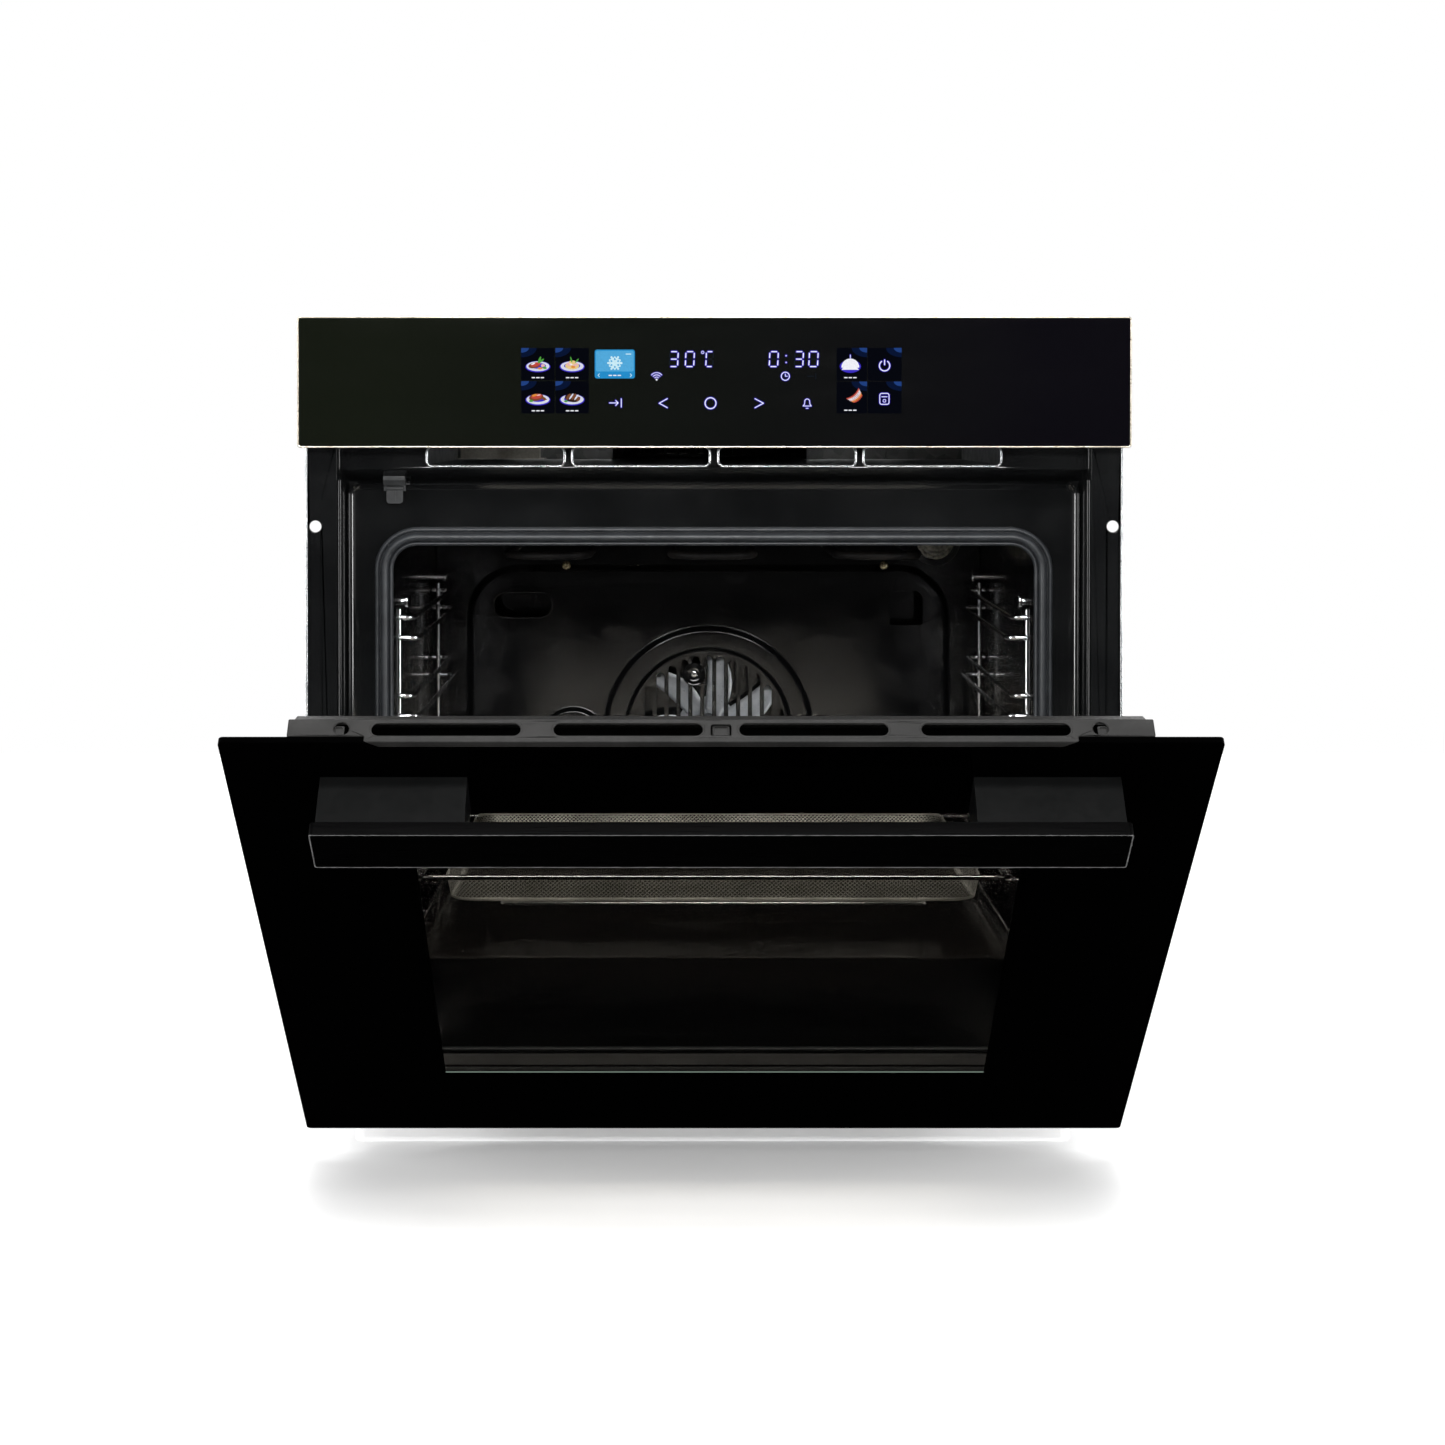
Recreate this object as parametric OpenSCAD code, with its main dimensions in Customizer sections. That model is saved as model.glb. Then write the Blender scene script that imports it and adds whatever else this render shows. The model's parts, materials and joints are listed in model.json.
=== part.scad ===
// Built-in wall oven with a drop-down glass door, side racks, a baking tray and a mesh basket.
// +Z is up and the front faces -Y. The origin is the centre of the underside of the base plate.

/* [Front] */
// Width of the control panel and of the door glass
oven_w = 595; // [560:1:760]
// Height from the underside of the base to the top of the control panel
oven_h = 595; // [560:1:760]
// Height of the control panel
panel_h = 93.6; // [80:0.2:110]
// Gap between the control panel and the closed door
panel_gap = 4; // [3:0.5:6]
// Free height under the closed door
door_foot = 11.4; // [6:0.2:20]
// Thickness of the glass sheets
glass_t = 4; // [3:0.5:5]

/* [Body] */
// Depth from the control panel's face to the back of the casing
oven_d = 570; // [540:1:690]
// Distance from the control panel's face back to the front of the base plate
base_setback = 90; // [88:1:110]
// How far the casing's sides stand in from the front's edges
body_inset = 19.5; // [18:0.5:30]
// Thickness of the casing's sheet steel
sheet = 1.2; // [0.8:0.1:1.5]
// How far the mounting flange lies behind the panel's face
flange_depth = 20; // [18:0.5:24]
// How far the door recess lies behind the panel's face
recess_depth = 44; // [44:0.5:50]
// Radius of the holes for the cabinet screws
cabinet_hole_r = 4.25; // [3:0.25:5]
// Height of the upper cabinet screws
cabinet_screw_z = 444.5; // [400:0.5:460]
// Height between the upper and the lower cabinet screws
cabinet_screw_pitch = 320; // [250:1:340]

/* [Door] */
// Angle at which the door stands open, from closed
door_open = 47.5; // [0:0.5:90]
// Thickness of the door without its handle
door_t = 38; // [34:0.5:38]
// Depth of the hinge axis behind the face of the door
hinge_in = 30; // [28:0.5:30]
// Height of the hinge axis above the door's lower edge
hinge_up = 41.8; // [38:0.2:42]
// Radius of the hinge pins
hinge_pin_r = 4; // [3:0.5:4]
// Gap between the door's inner frame and the sides of the recess
door_side_gap = 14; // [8:0.5:20]
// Width of the clear window
window_w = 381; // [300:1:420]
// Distance from the door's upper edge to the window
window_top = 77; // [75:0.5:100]
// Height of the window
window_h = 328.5; // [250:0.5:340]

/* [Handle] */
// Length of the handle bar
handle_w = 488; // [380:1:540]
// Height of the handle bar
handle_h = 36; // [24:1:38]
// Thickness of the handle bar
handle_t = 9; // [6:0.5:12]
// Finger room between the handle bar and the glass
handle_gap = 32; // [28:1:40]
// Distance from the door's upper edge to the handle bar
handle_drop = 36; // [32:1:40]
// Width of each handle bracket
bracket_w = 88.5; // [50:0.5:100]

/* [Cavity] */
// Room for insulation between the casing and the cavity's side
side_room = 38; // [34:0.5:50]
// Height of the cavity's floor
cavity_z = 64; // [64:0.5:70]
// Room between the cavity's roof and the top of the casing
roof_room = 156; // [150:1:170]
// Distance from the recess to the fan panel
cavity_d = 386; // [340:1:400]
// Depth of the fan chamber behind the fan panel
fan_room = 40; // [38:0.5:44]
// Thickness of the enamelled steel
enamel_t = 1; // [0.8:0.1:1.2]
// How far the cavity's front lip narrows its mouth
mouth_lip = 4; // [3:0.5:6]

/* [Racks and trays] */
// Thickness of the rack wires
wire_d = 4; // [3:0.5:5]
// Height of the lowest runner above the cavity's floor
rack_first = 64; // [50:1:70]
// Distance from one level to the next
rack_pitch = 58; // [50:1:70]
// Height between the two wires of a level
runner_gap = 15; // [12:1:18]
// Depth of the baking tray
tray_deep = 33; // [20:1:40]
// Depth of the mesh basket
basket_deep = 19; // [12:1:30]

/* [Fans] */
// Height of the convection fan's axis
fan_z = 247.5; // [200:0.5:300]
// Radius of the convection fan
fan_r = 70; // [60:1:75]
// Radius of the fan panel's grille
grille_r = 66; // [50:1:70]
// Radius of the cooling rotor
rotor_r = 62; // [50:1:66]
// Radius of the oven lamp's glass
lamp_r = 17; // [14:0.5:18]

/* [Hidden] */
$fn = 48;
fit = 0.3; // gap between pieces that are only laid together

enamel = [0.06, 0.065, 0.07];
black_glass = [0.05, 0.05, 0.055];
dark_trim = [0.20, 0.19, 0.18];
zinc = [0.78, 0.79, 0.80];
chrome_wire = [0.82, 0.83, 0.85];
wool = [0.85, 0.82, 0.70];

// Widths and planes of the casing
body_w = oven_w - 2 * body_inset;
y_front = -(base_setback + oven_d) / 2;
y_rear = y_front + oven_d;
y_base = y_front + base_setback;
y_flange = y_front + flange_depth;
y_recess = y_front + recess_depth;
z_panel = oven_h - panel_h;
z_top = oven_h - 5;
z_lip = door_foot + hinge_up + 1;          // lower edge of the front frame, above the door's sweep
flange_t = 1.5;
flange_w = oven_w - 5;
cabinet_screw_x = oven_w / 2 - 10;

// The recess that the door closes into, with the vent strip above it
recess_w = body_w - 14;
strip_depth = 25;
y_strip = y_front + strip_depth;
z_strip = z_panel - 16;
z_recess_top = z_strip - 8.5;
slot_w = 99.5;
slot_bridge = 5.5;
slot_z = z_panel - 13.6;
slot_h = 14.2;
slot_first = 3;
slot_pairs = 2;

// The cavity
cavity_w = body_w - 2 * side_room;
cavity_top = z_top - roof_room;
cavity_h = cavity_top - cavity_z;
cavity_corner = 10;
y_panel = y_recess + cavity_d;
y_back = y_panel + fan_room;
rear_wool = 22;
side_wool = side_room - 12;

// The side racks
rack_headroom = 70;
rack_levels = floor((cavity_h - rack_first - rack_headroom) / rack_pitch) + 1;
rack_x = cavity_w / 2 - 7;
rack_inset = 26;
runner_x = cavity_w / 2 - 22;
rack_y0 = y_recess + rack_inset;
rack_y1 = y_panel - 55;
rack_z = cavity_z + rack_first;
rack_top = rack_z + (rack_levels - 1) * rack_pitch + runner_gap;
rack_foot = rack_z - 18;
wire_r = wire_d / 2;
weld = 0.7;
bend = 8;

// The door, drawn closed from its lower outer edge
door_h = z_panel - panel_gap - door_foot;
hinge_y = y_front + hinge_in;
hinge_z = door_foot + hinge_up;
frame_w = recess_w - 2 * door_side_gap;
rail_w = 17;
rail_wall = 2;
rail_foot = hinge_up - 8;
print_t = 0.4;
t_frame = glass_t + print_t;
lower_t = hinge_in - 10;
pane_foot = hinge_up + 16;
trim_h = 36;
trim_flat = 17;
notch_h = 6;
notch_w = 406;
notch_taper = 9;
arm_x = frame_w / 2 - 10;
arm_t = 3;
arm_ring = 9;
pin_gap = 0.05;
corner = [cos(45), sin(45)] * (door_t - hinge_in - 0.1);

// The handle
bracket_x = handle_w / 2 - 3.5 - bracket_w;
handle_z = door_h - handle_drop - handle_h;
screw_r = 2.5;
screw_inset = 22;

// The trays
tray_w = 2 * (runner_x + wire_r + 7);
tray_y0 = y_recess + 12;
tray_y1 = y_panel - 40;
tray_z = rack_z + wire_r + fit;
basket_z = rack_z + rack_pitch + wire_r + fit + wire_r;
basket_frame_x = runner_x + 2;
basket_w = 2 * (runner_x - 19);
basket_y0 = y_recess + 9;
basket_y1 = y_panel - 42;

// The fan chamber and what passes through its walls
fan_y0 = y_panel + 7;
fan_d = 22;
shaft_r = 4;
shaft_hole = 6;
lamp_x = cavity_w / 2 - 40;
lamp_z = cavity_top - 19;
lamp_bezel_r = lamp_r + 5;
probe_x = -155;
probe_z = cavity_top - 56;
probe_r = 3;
ring_r = 100;
heater_r = 3.25;
emboss = 3;
emboss_w = 414;
emboss_foot = 40;
emboss_top = 46;
slot_pitch = 10.5;
slot_bar = 3.7;

// The cooling system above the cavity
duct_z = z_strip + flange_t + fit;
duct_h = 28;
duct_w = 2 * (slot_first + slot_pairs * slot_w + slot_bridge) + 8;
blower_y = y_recess + 350;
blower_r = rotor_r + 20;
inlet_r = 42;
vent_x = 90;
vent_y = y_recess + 106;
vent_r = 11;

// Display
display_w = 272;
display_h = 48;
display_x = -2;
display_z = z_panel + 48;
module_margin = 4;
module_t = 8;

// Box between two opposite corners
module slab(low, high) { translate(low) cube(high - low); }

// Stands a flat XZ outline up at depth y, t thick towards +Y
module upright(y, t) { translate([0, y + t, 0]) rotate([90, 0, 0]) linear_extrude(t) children(); }

// Draws a flat YZ outline out along +X from x
module across(x, w) { translate([x, 0, 0]) rotate([90, 0, 90]) linear_extrude(w) children(); }

// Rounded rectangle between two corners
module round_rect(low, high, r) {
    size = high - low;
    translate(low) {
        translate([r, 0]) square([size[0] - 2 * r, size[1]]);
        translate([0, r]) square([size[0], size[1] - 2 * r]);
        for (x = [r, size[0] - r], y = [r, size[1] - r]) translate([x, y]) circle(r);
    }
}

// Long slot with round ends, along X
module stadium(low, high) {
    r = (high[1] - low[1]) / 2;
    round_rect(low, high, r - 0.001);
}

module both_sides() { for (side = [0, 1]) mirror([side, 0, 0]) children(); }

// Rod along an axis between two places that differ along that axis only
module rod_x(from, len, r) { translate(from) rotate([0, 90, 0]) cylinder(h = len, r = r); }
module rod_y(from, len, r) { translate(from) rotate([-90, 0, 0]) cylinder(h = len, r = r); }
module rod_z(from, len, r) { translate(from) cylinder(h = len, r = r); }

// Quarter bend of a wire, lying flat, from +X round to +Y about its centre
module elbow(at, turn, r, wire) {
    translate(at) rotate(turn) rotate_extrude(angle = 90) translate([r, 0]) circle(wire);
}

// Puts what is drawn for the closed door at the angle it stands open
module in_door() {
    translate([0, hinge_y, hinge_z]) rotate([door_open, 0, 0]) translate([0, -hinge_in, -hinge_up])
        children();
}

// ---- Casing ----

module base_plate() {
    half = body_w / 2 - sheet;
    rib = 12;
    color(zinc) {
        slab([-half, y_base, 0], [half, y_rear - sheet, sheet]);
        difference() {
            slab([-half, y_base, 0], [half, y_base + sheet, z_lip]);
            for (i = [-4:4]) translate([i * 52, y_base - 1, 18]) cube([34, 4, 6]);
        }
        both_sides() slab([half - sheet, y_base, 0], [half, y_rear - sheet, rib]);
    }
}

module side_panel() {
    low = z_lip + flange_t;
    color(zinc) difference() {
        across(body_w / 2 - sheet, sheet) polygon([
            [y_flange + flange_t, low], [y_base, low], [y_base, 0], [y_rear, 0], [y_rear, z_top],
            [y_flange + flange_t, z_top]
        ]);
        for (i = [0:5]) across(body_w / 2 - sheet - 1, sheet + 2)
            translate([y_rear - 60 - i * 26, z_top - 90]) stadium([0, 0], [18, 5]);
    }
}

module top_cover() {
    half = body_w / 2 - sheet;
    color(zinc) difference() {
        slab([-half, y_flange + flange_t, z_top - sheet], [half, y_rear - sheet, z_top]);
        for (i = [-5:5], row = [0, 1]) translate([i * 30 - 3, y_rear - 90 - row * 60, z_top - 3])
            linear_extrude(6) round_rect([0, 0], [6, 40], 2.9);
    }
}

module rear_panel() {
    half = body_w / 2 - sheet;
    color(zinc) difference() {
        slab([-half, y_rear - sheet, 0], [half, y_rear, z_top - sheet]);
        for (i = [-7:7]) upright(y_rear - 3, 6)
            translate([i * 24 - 3, z_top - 72]) round_rect([0, 0], [6, 40], 2.9);
        rod_y([gland_x, y_rear - 3, gland_z], 6, gland_r);
        for (i = [-6:6]) upright(y_rear - 3, 6)
            translate([i * 24 - 3, 50]) round_rect([0, 0], [6, 30], 2.9);
    }
}

screw_head_r = 4;
screw_head_t = 2;
module casing_screws() {
    color(zinc) {
        for (x = [-body_w / 2 + 14, body_w / 2 - 14], z = [24, 300, z_top - 24])
            rod_y([x, y_rear, z], screw_head_t, screw_head_r);
        both_sides() for (y = [y_flange + 40, y_rear - 20], z = [z_lip + 30, z_top - 24])
            rod_x([body_w / 2, y, z], screw_head_t, screw_head_r);
    }
}

// ---- Front frame, gasket and cavity ----

module slot_places() {
    both_sides() for (i = [0:slot_pairs - 1]) translate([slot_first + i * (slot_w + slot_bridge), slot_z])
        children();
}

module mouth() {
    half = cavity_w / 2 - mouth_lip;
    round_rect([-half, cavity_z + mouth_lip - 1], [half, cavity_top - mouth_lip + 1], cavity_corner);
}

module front_frame() {
    half = recess_w / 2;
    slope = 5;
    side = half - slope;
    color(enamel) difference() {
        union() {
            upright(y_flange, flange_t) difference() {
                round_rect([-flange_w / 2, z_lip], [flange_w / 2, z_top], 3);
                square_between([-half - 2, z_lip - 1], [half + 2, z_panel + 6]);
            }
            upright(y_strip, flange_t) difference() {
                square_between([-half - 2, z_strip], [half + 2, z_panel + 18]);
                slot_places() round_rect([0, 0], [slot_w, slot_h], 4);
            }
            slab([-half - 2, y_flange, z_panel + 6], [half + 2, y_strip + flange_t, z_panel + 7.5]);
            both_sides() translate([0, 0, z_lip]) linear_extrude(z_panel + 6 - z_lip) polygon([
                [half + 1, y_flange], [half + 3, y_flange], [side + 2, y_recess + flange_t], [side, y_recess]
            ]);
            across(-half, 2 * half) polygon([
                [y_strip, z_strip], [y_strip + flange_t, z_strip + 1.5],
                [y_recess + flange_t, z_recess_top + 1.5], [y_recess, z_recess_top]
            ]);
            upright(y_recess, flange_t) difference() {
                square_between([-side - 1, z_lip], [side + 1, z_recess_top + 1]);
                mouth();
            }
            slab([-body_w / 2 + sheet, y_recess, z_lip],
                [body_w / 2 - sheet, y_base + sheet, z_lip + flange_t]);
        }
        for (x = [-cabinet_screw_x, cabinet_screw_x], drop = [0, cabinet_screw_pitch])
            rod_y([x, y_flange - 1, cabinet_screw_z - drop], 4, cabinet_hole_r);
        both_sides() slab([arm_x - arm_t / 2 - 2, y_recess - 1, z_lip - 1],
            [arm_x + arm_t / 2 + 2, y_recess + 2, hinge_z + 15]);
    }
}

module square_between(low, high) { translate(low) square(high - low); }

gasket_w = 13.5;
gasket_out = 7.5;
gasket_corner = 31;
module door_gasket() {
    half = cavity_w / 2 + gasket_out;
    low = z_lip + 1;
    high = cavity_top + gasket_out + 1.5;
    y = y_front + door_t + fit;
    color([0.3, 0.31, 0.32]) upright(y, y_recess - y) difference() {
        round_rect([-half, low], [half, high], gasket_corner);
        round_rect([gasket_w - half, low + gasket_w], [half - gasket_w, high - gasket_w],
            gasket_corner - gasket_w);
    }
}

module cavity() {
    half = cavity_w / 2;
    y0 = y_recess + flange_t;
    color(enamel) difference() {
        union() {
            upright(y0, enamel_t) difference() {
                round_rect([-half - enamel_t, cavity_z - enamel_t], [half + enamel_t, cavity_top + enamel_t],
                    cavity_corner);
                mouth();
            }
            upright(y0, y_back - y0) difference() {
                round_rect([-half - enamel_t, cavity_z - enamel_t], [half + enamel_t, cavity_top + enamel_t],
                    cavity_corner);
                round_rect([-half, cavity_z], [half, cavity_top], cavity_corner - enamel_t);
            }
        }
        rod_z([vent_x, vent_y, cavity_top - 1], 4, vent_r);
    }
}

module cavity_back() {
    half = cavity_w / 2 + enamel_t;
    color(enamel) difference() {
        upright(y_back, enamel_t)
            round_rect([-half, cavity_z - enamel_t], [half, cavity_top + enamel_t], cavity_corner);
        rod_y([0, y_back - 1, fan_z], 4, shaft_hole);
        rod_y([lamp_x, y_back - 1, lamp_z], 4, lamp_r + 1);
        rod_y([probe_x, y_back - 1, probe_z], 4, probe_r + 0.5);
        for (x = [-15, 15]) {
            rod_y([x, y_back - 1, fan_z + ring_r], 4, heater_r + 0.5);
            rod_y([grill_leg + x, y_back - 1, grill_z], 4, heater_r + 0.5);
        }
    }
}

// Vents in the fan panel: a long one at the left and one with a large corner at the right
module panel_vents() {
    translate([-163.4, cavity_top - 75.6]) stadium([-26, -11.3], [26, 11.3]);
    translate([174.4, cavity_top - 78.4]) intersection() {
        round_rect([-14.3, -15], [14.3, 15], 3);
        translate([-14.3, -15]) circle(38);
    }
}

module grille_slots() {
    slot = slot_pitch - slot_bar;
    for (i = [-6:6]) {
        reach = sqrt(grille_r * grille_r - pow(i * slot_pitch, 2));
        if (reach > slot) translate([i * slot_pitch, 0])
            round_rect([-slot / 2, -reach], [slot / 2, reach], slot / 2 - 0.001);
    }
}

module fan_panel() {
    half = cavity_w / 2 - 1;
    color(enamel) difference() {
        union() {
            upright(y_panel, enamel_t) difference() {
                round_rect([-half, cavity_z + 1], [half, cavity_top - 1], cavity_corner - 1);
                translate([0, fan_z]) circle(grille_r + 2);
            }
            upright(y_panel - emboss, emboss) difference() {
                round_rect([-emboss_w / 2, cavity_z + emboss_foot], [emboss_w / 2, cavity_top - emboss_top], 40);
                translate([0, fan_z]) circle(grille_r + 2);
            }
            upright(y_panel - 2 * emboss, emboss) translate([0, fan_z]) difference() {
                circle(grille_r + 22);
                circle(grille_r + 8);
            }
            upright(y_panel - emboss, 2) translate([0, fan_z]) difference() {
                circle(grille_r + 9);
                grille_slots();
            }
            rod_y([-119, y_panel - emboss - 3, fan_z - 9.5], 4, 27);
            both_sides() slab([half - enamel_t, y_panel, cavity_z + 12], [half, y_back, cavity_top - 40]);
        }
        upright(y_panel - 2 * emboss - 1, 12) panel_vents();
        rod_y([lamp_x, y_panel - 8, lamp_z], 14, lamp_bezel_r - 2);
    }
}

module panel_screws() {
    color([0.5, 0.48, 0.42]) for (x = [-125, 155]) {
        rod_y([x, y_panel - 2.5, cavity_top - emboss_top + 5], 2.5, 4);
    }
}

// ---- Heating ----

// Flat hairpin heater: pairs of straight runs joined by half-round bends
module hairpin(pairs, pitch, y0, y1, z) {
    for (i = [0:2 * pairs - 1]) rod_y([(i - pairs + 0.5) * pitch, y0, z], y1 - y0, heater_r);
    for (i = [0:2 * pairs - 2]) {
        front = i % 2 == 0;
        translate([(i - pairs + 1) * pitch, front ? y0 : y1, z]) rotate(front ? 180 : 0)
            rotate_extrude(angle = 180) translate([pitch / 2, 0]) circle(heater_r);
    }
}

grill_pairs = 3;
grill_pitch = 62;
grill_z = cavity_top - 14;
grill_leg = (0.5 - grill_pairs) * grill_pitch + 15;
module grill_element() {
    y0 = y_recess + 70;
    y1 = y_panel - 60;
    leg = (grill_pairs - 0.5) * grill_pitch;
    color([0.25, 0.24, 0.24]) {
        hairpin(grill_pairs, grill_pitch, y0, y1, grill_z);
        for (x = [-leg, leg]) rod_y([x, y1, grill_z], y_panel - 3 - y1, heater_r);
    }
}

module bottom_element() {
    pairs = 2;
    pitch = 76;
    y0 = y_base + sheet + pitch / 2 + heater_r + 6;
    color([0.25, 0.24, 0.24]) hairpin(pairs, pitch, y0, y_panel - 70, cavity_z - 8);
}

module ring_element() {
    color([0.25, 0.24, 0.24]) {
        for (y = [fan_y0 + 5, fan_y0 + 19]) translate([0, y, fan_z]) rotate([90, 0, 0])
            rotate_extrude() translate([ring_r, 0]) circle(heater_r);
        for (x = [-15, 15]) rod_y([x, fan_y0 + 19, fan_z + ring_r], rear_wool + 12, heater_r);
    }
}

// ---- Insulation ----

module insulation_jacket() {
    y0 = y_recess + 10;
    outer = cavity_w / 2 + enamel_t + fit + side_wool;
    inner = cavity_w / 2 + enamel_t + fit;
    low = cavity_z - 18;
    high = cavity_top + enamel_t + fit;
    color(wool) {
        both_sides() difference() {
            union() {
                slab([inner, y0, z_lip + flange_t + fit], [outer, y_back, high]);
                slab([inner, y_base + 6, low], [outer, y_back, z_lip + flange_t + 1]);
            }
            slab([inner - 1, y0 - 1, low - 1], [arm_x + 8, y0 + 90, hinge_z + 44]);
        }
        difference() {
            slab([-outer, y0, high], [outer, y_back, high + 24]);
            rod_z([vent_x, vent_y, high - 1], 26, vent_r + 3);
        }
        slab([-outer, y_base + 6, low - 26], [outer, y_back, low]);
    }
}

motor_half = 33;
motor_room_r = motor_half * sqrt(2) + 1;
module insulation_rear() {
    half = cavity_w / 2 + side_wool;
    y = y_back + enamel_t + fit;
    color(wool) difference() {
        slab([-half, y, cavity_z - 44], [half, y + rear_wool, cavity_top + 25]);
        rod_y([0, y - 1, fan_z], rear_wool + 2, motor_room_r);
        rod_y([lamp_x, y - 1, lamp_z], rear_wool + 2, lamp_r + 6);
        rod_y([probe_x, y - 1, probe_z], rear_wool + 2, probe_r + 3);
        for (x = [-15, 15]) rod_y([x, y - 1, fan_z + ring_r], rear_wool + 2, heater_r + 2);
    }
}

// ---- Side racks ----

// One runner: in from the front upright, back along the cavity and out to the rear upright
module runner(x, z) {
    out = cavity_w / 2 - 2;
    y0 = rack_y0 - wire_d + weld;
    y1 = rack_y1 + wire_d - weld;
    rod_x([x + bend, y0, z], out - x - bend, wire_r);
    elbow([x + bend, y0 + bend, z], 180, bend, wire_r);
    rod_y([x, y0 + bend, z], y1 - y0 - 2 * bend, wire_r);
    elbow([x + bend, y1 - bend, z], 90, bend, wire_r);
    rod_x([x + bend, y1, z], out - x - bend, wire_r);
}

module side_rack() {
    color(chrome_wire) {
        for (y = [rack_y0, rack_y1]) rod_z([rack_x, y, rack_foot], rack_top + 6 - rack_foot, wire_r);
        for (i = [0:rack_levels - 1]) {
            runner(runner_x, rack_z + i * rack_pitch);
            runner(runner_x + 4, rack_z + i * rack_pitch + runner_gap);
        }
    }
}

module rack_studs() {
    color(chrome_wire) both_sides() for (y = [rack_y0, rack_y1]) {
        rod_x([rack_x - 5, y, rack_top + 12], cavity_w / 2 - rack_x + 5, 3);
        rod_x([rack_x - 7, y, rack_top + 12], 2, 5);
        rod_x([rack_x - 4, y, rack_foot - 6], cavity_w / 2 - rack_x + 4, 3);
    }
}

// ---- Lamp ----

module lamp_ring() {
    color([0.12, 0.12, 0.12]) upright(y_panel - 2.5, 2.5) difference() {
        translate([lamp_x, lamp_z]) circle(lamp_bezel_r);
        translate([lamp_x, lamp_z]) circle(lamp_r + fit);
        square_between([lamp_x - lamp_bezel_r, cavity_top - fit], [lamp_x + lamp_bezel_r, cavity_top + lamp_bezel_r]);
    }
}

module lamp_glass() {
    color([0.95, 0.88, 0.75]) translate([lamp_x, y_panel - 8, lamp_z]) rotate([-90, 0, 0]) difference() {
        cylinder(h = fan_room + 6, r = lamp_r);
        translate([0, 0, 2.5]) cylinder(h = fan_room + 6, r = lamp_r - 2.5);
    }
}

module lamp_bulb() {
    color([1, 0.95, 0.85]) {
        translate([lamp_x, y_panel + 12, lamp_z]) sphere(8);
        rod_y([lamp_x, y_panel + 18, lamp_z], 20, 5);
    }
}

module lamp_holder() {
    color([0.9, 0.88, 0.84]) {
        rod_y([lamp_x, y_panel + fan_room - 2, lamp_z], 34, lamp_r);
        slab([lamp_x - 9, y_panel + fan_room + 32, lamp_z - 5], [lamp_x + 9, y_panel + fan_room + 40, lamp_z + 5]);
    }
}

// ---- Convection fan ----

module fan_motor() {
    y = y_back + enamel_t + fit;
    color([0.55, 0.56, 0.58]) difference() {
        union() {
            upright(y, 2) translate([0, fan_z]) round_rect([-30, -30], [30, 30], 8);
            upright(y + 12, 24) translate([0, fan_z]) round_rect([-motor_half, -motor_half], [motor_half, motor_half], 4);
            rod_y([0, y, fan_z], 54, 12);
        }
        rod_y([0, y - 1, fan_z], 60, shaft_r + 0.6);
    }
}

fan_blades = 10;
module convection_fan() {
    y1 = fan_y0 + fan_d;
    color([0.75, 0.76, 0.77]) {
        upright(y1, 1) translate([0, fan_z]) circle(fan_r - 12);
        for (i = [0:fan_blades - 1]) translate([0, y1 - fan_d, fan_z]) rotate([-90, 0, 0])
            rotate(i * 360 / fan_blades) translate([fan_r - 26, 0, 0]) rotate(24)
            translate([-25, -0.6, 0]) cube([50, 1.2, fan_d + 0.5]);
        rod_y([0, fan_y0 + 2, fan_z], fan_d - 1, 10);
        rod_y([0, fan_y0 - 3, fan_z], fan_d + rear_wool + 30, shaft_r);
    }
}

module fan_nut() {
    color([0.6, 0.55, 0.4]) difference() {
        translate([0, fan_y0 - 5, fan_z]) rotate([-90, 0, 0]) cylinder(h = 6.5, r = 8, $fn = 6);
        rod_y([0, fan_y0 - 6, fan_z], 10, shaft_r);
    }
}

// ---- Cooling system ----

module cooling_duct() {
    y1 = blower_y - blower_r - fit;
    half = duct_w / 2;
    color(zinc) difference() {
        slab([-half, y_strip + flange_t, duct_z], [half, y1, duct_z + duct_h]);
        slab([-half + sheet, y_strip, duct_z + sheet], [half - sheet, y1 + 1, duct_z + duct_h - sheet]);
        rod_z([vent_x, vent_y, duct_z - 1], 4, vent_r + 0.3);
    }
}

module blower_housing() {
    y0 = blower_y - blower_r;
    color(zinc) difference() {
        union() {
            rod_z([0, blower_y, duct_z], duct_h, blower_r);
            slab([-blower_r, y0, duct_z], [blower_r, blower_y, duct_z + duct_h]);
        }
        rod_z([0, blower_y, duct_z + sheet], duct_h - 2 * sheet, blower_r - sheet);
        slab([-blower_r + sheet, y0 - 1, duct_z + sheet], [blower_r - sheet, blower_y, duct_z + duct_h - sheet]);
        rod_z([0, blower_y, duct_z + duct_h - 3], 6, inlet_r);
    }
}

module cooling_rotor() {
    z = duct_z + 4;
    blades = 24;
    color([0.35, 0.36, 0.37]) {
        rod_z([0, blower_y, z], 1.2, rotor_r);
        for (i = [0:blades - 1]) translate([0, blower_y, z + 1]) rotate(i * 360 / blades)
            translate([rotor_r - 9, 0, 0]) rotate(35) translate([-7, -0.5, 0]) cube([14, 1, duct_h - 8]);
        rod_z([0, blower_y, z], duct_h + 4, 3);
    }
}

module cooling_motor() {
    z = duct_z + duct_h;
    color([0.5, 0.51, 0.53]) difference() {
        union() {
            for (turn = [0, 60, 120]) translate([0, blower_y, z]) rotate(turn)
                slab([-inlet_r - 8, -3, 0], [inlet_r + 8, 3, 2]);
            rod_z([0, blower_y, z], 34, 24);
        }
        rod_z([0, blower_y, z - 1], 12, 3.6);
    }
}

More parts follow.
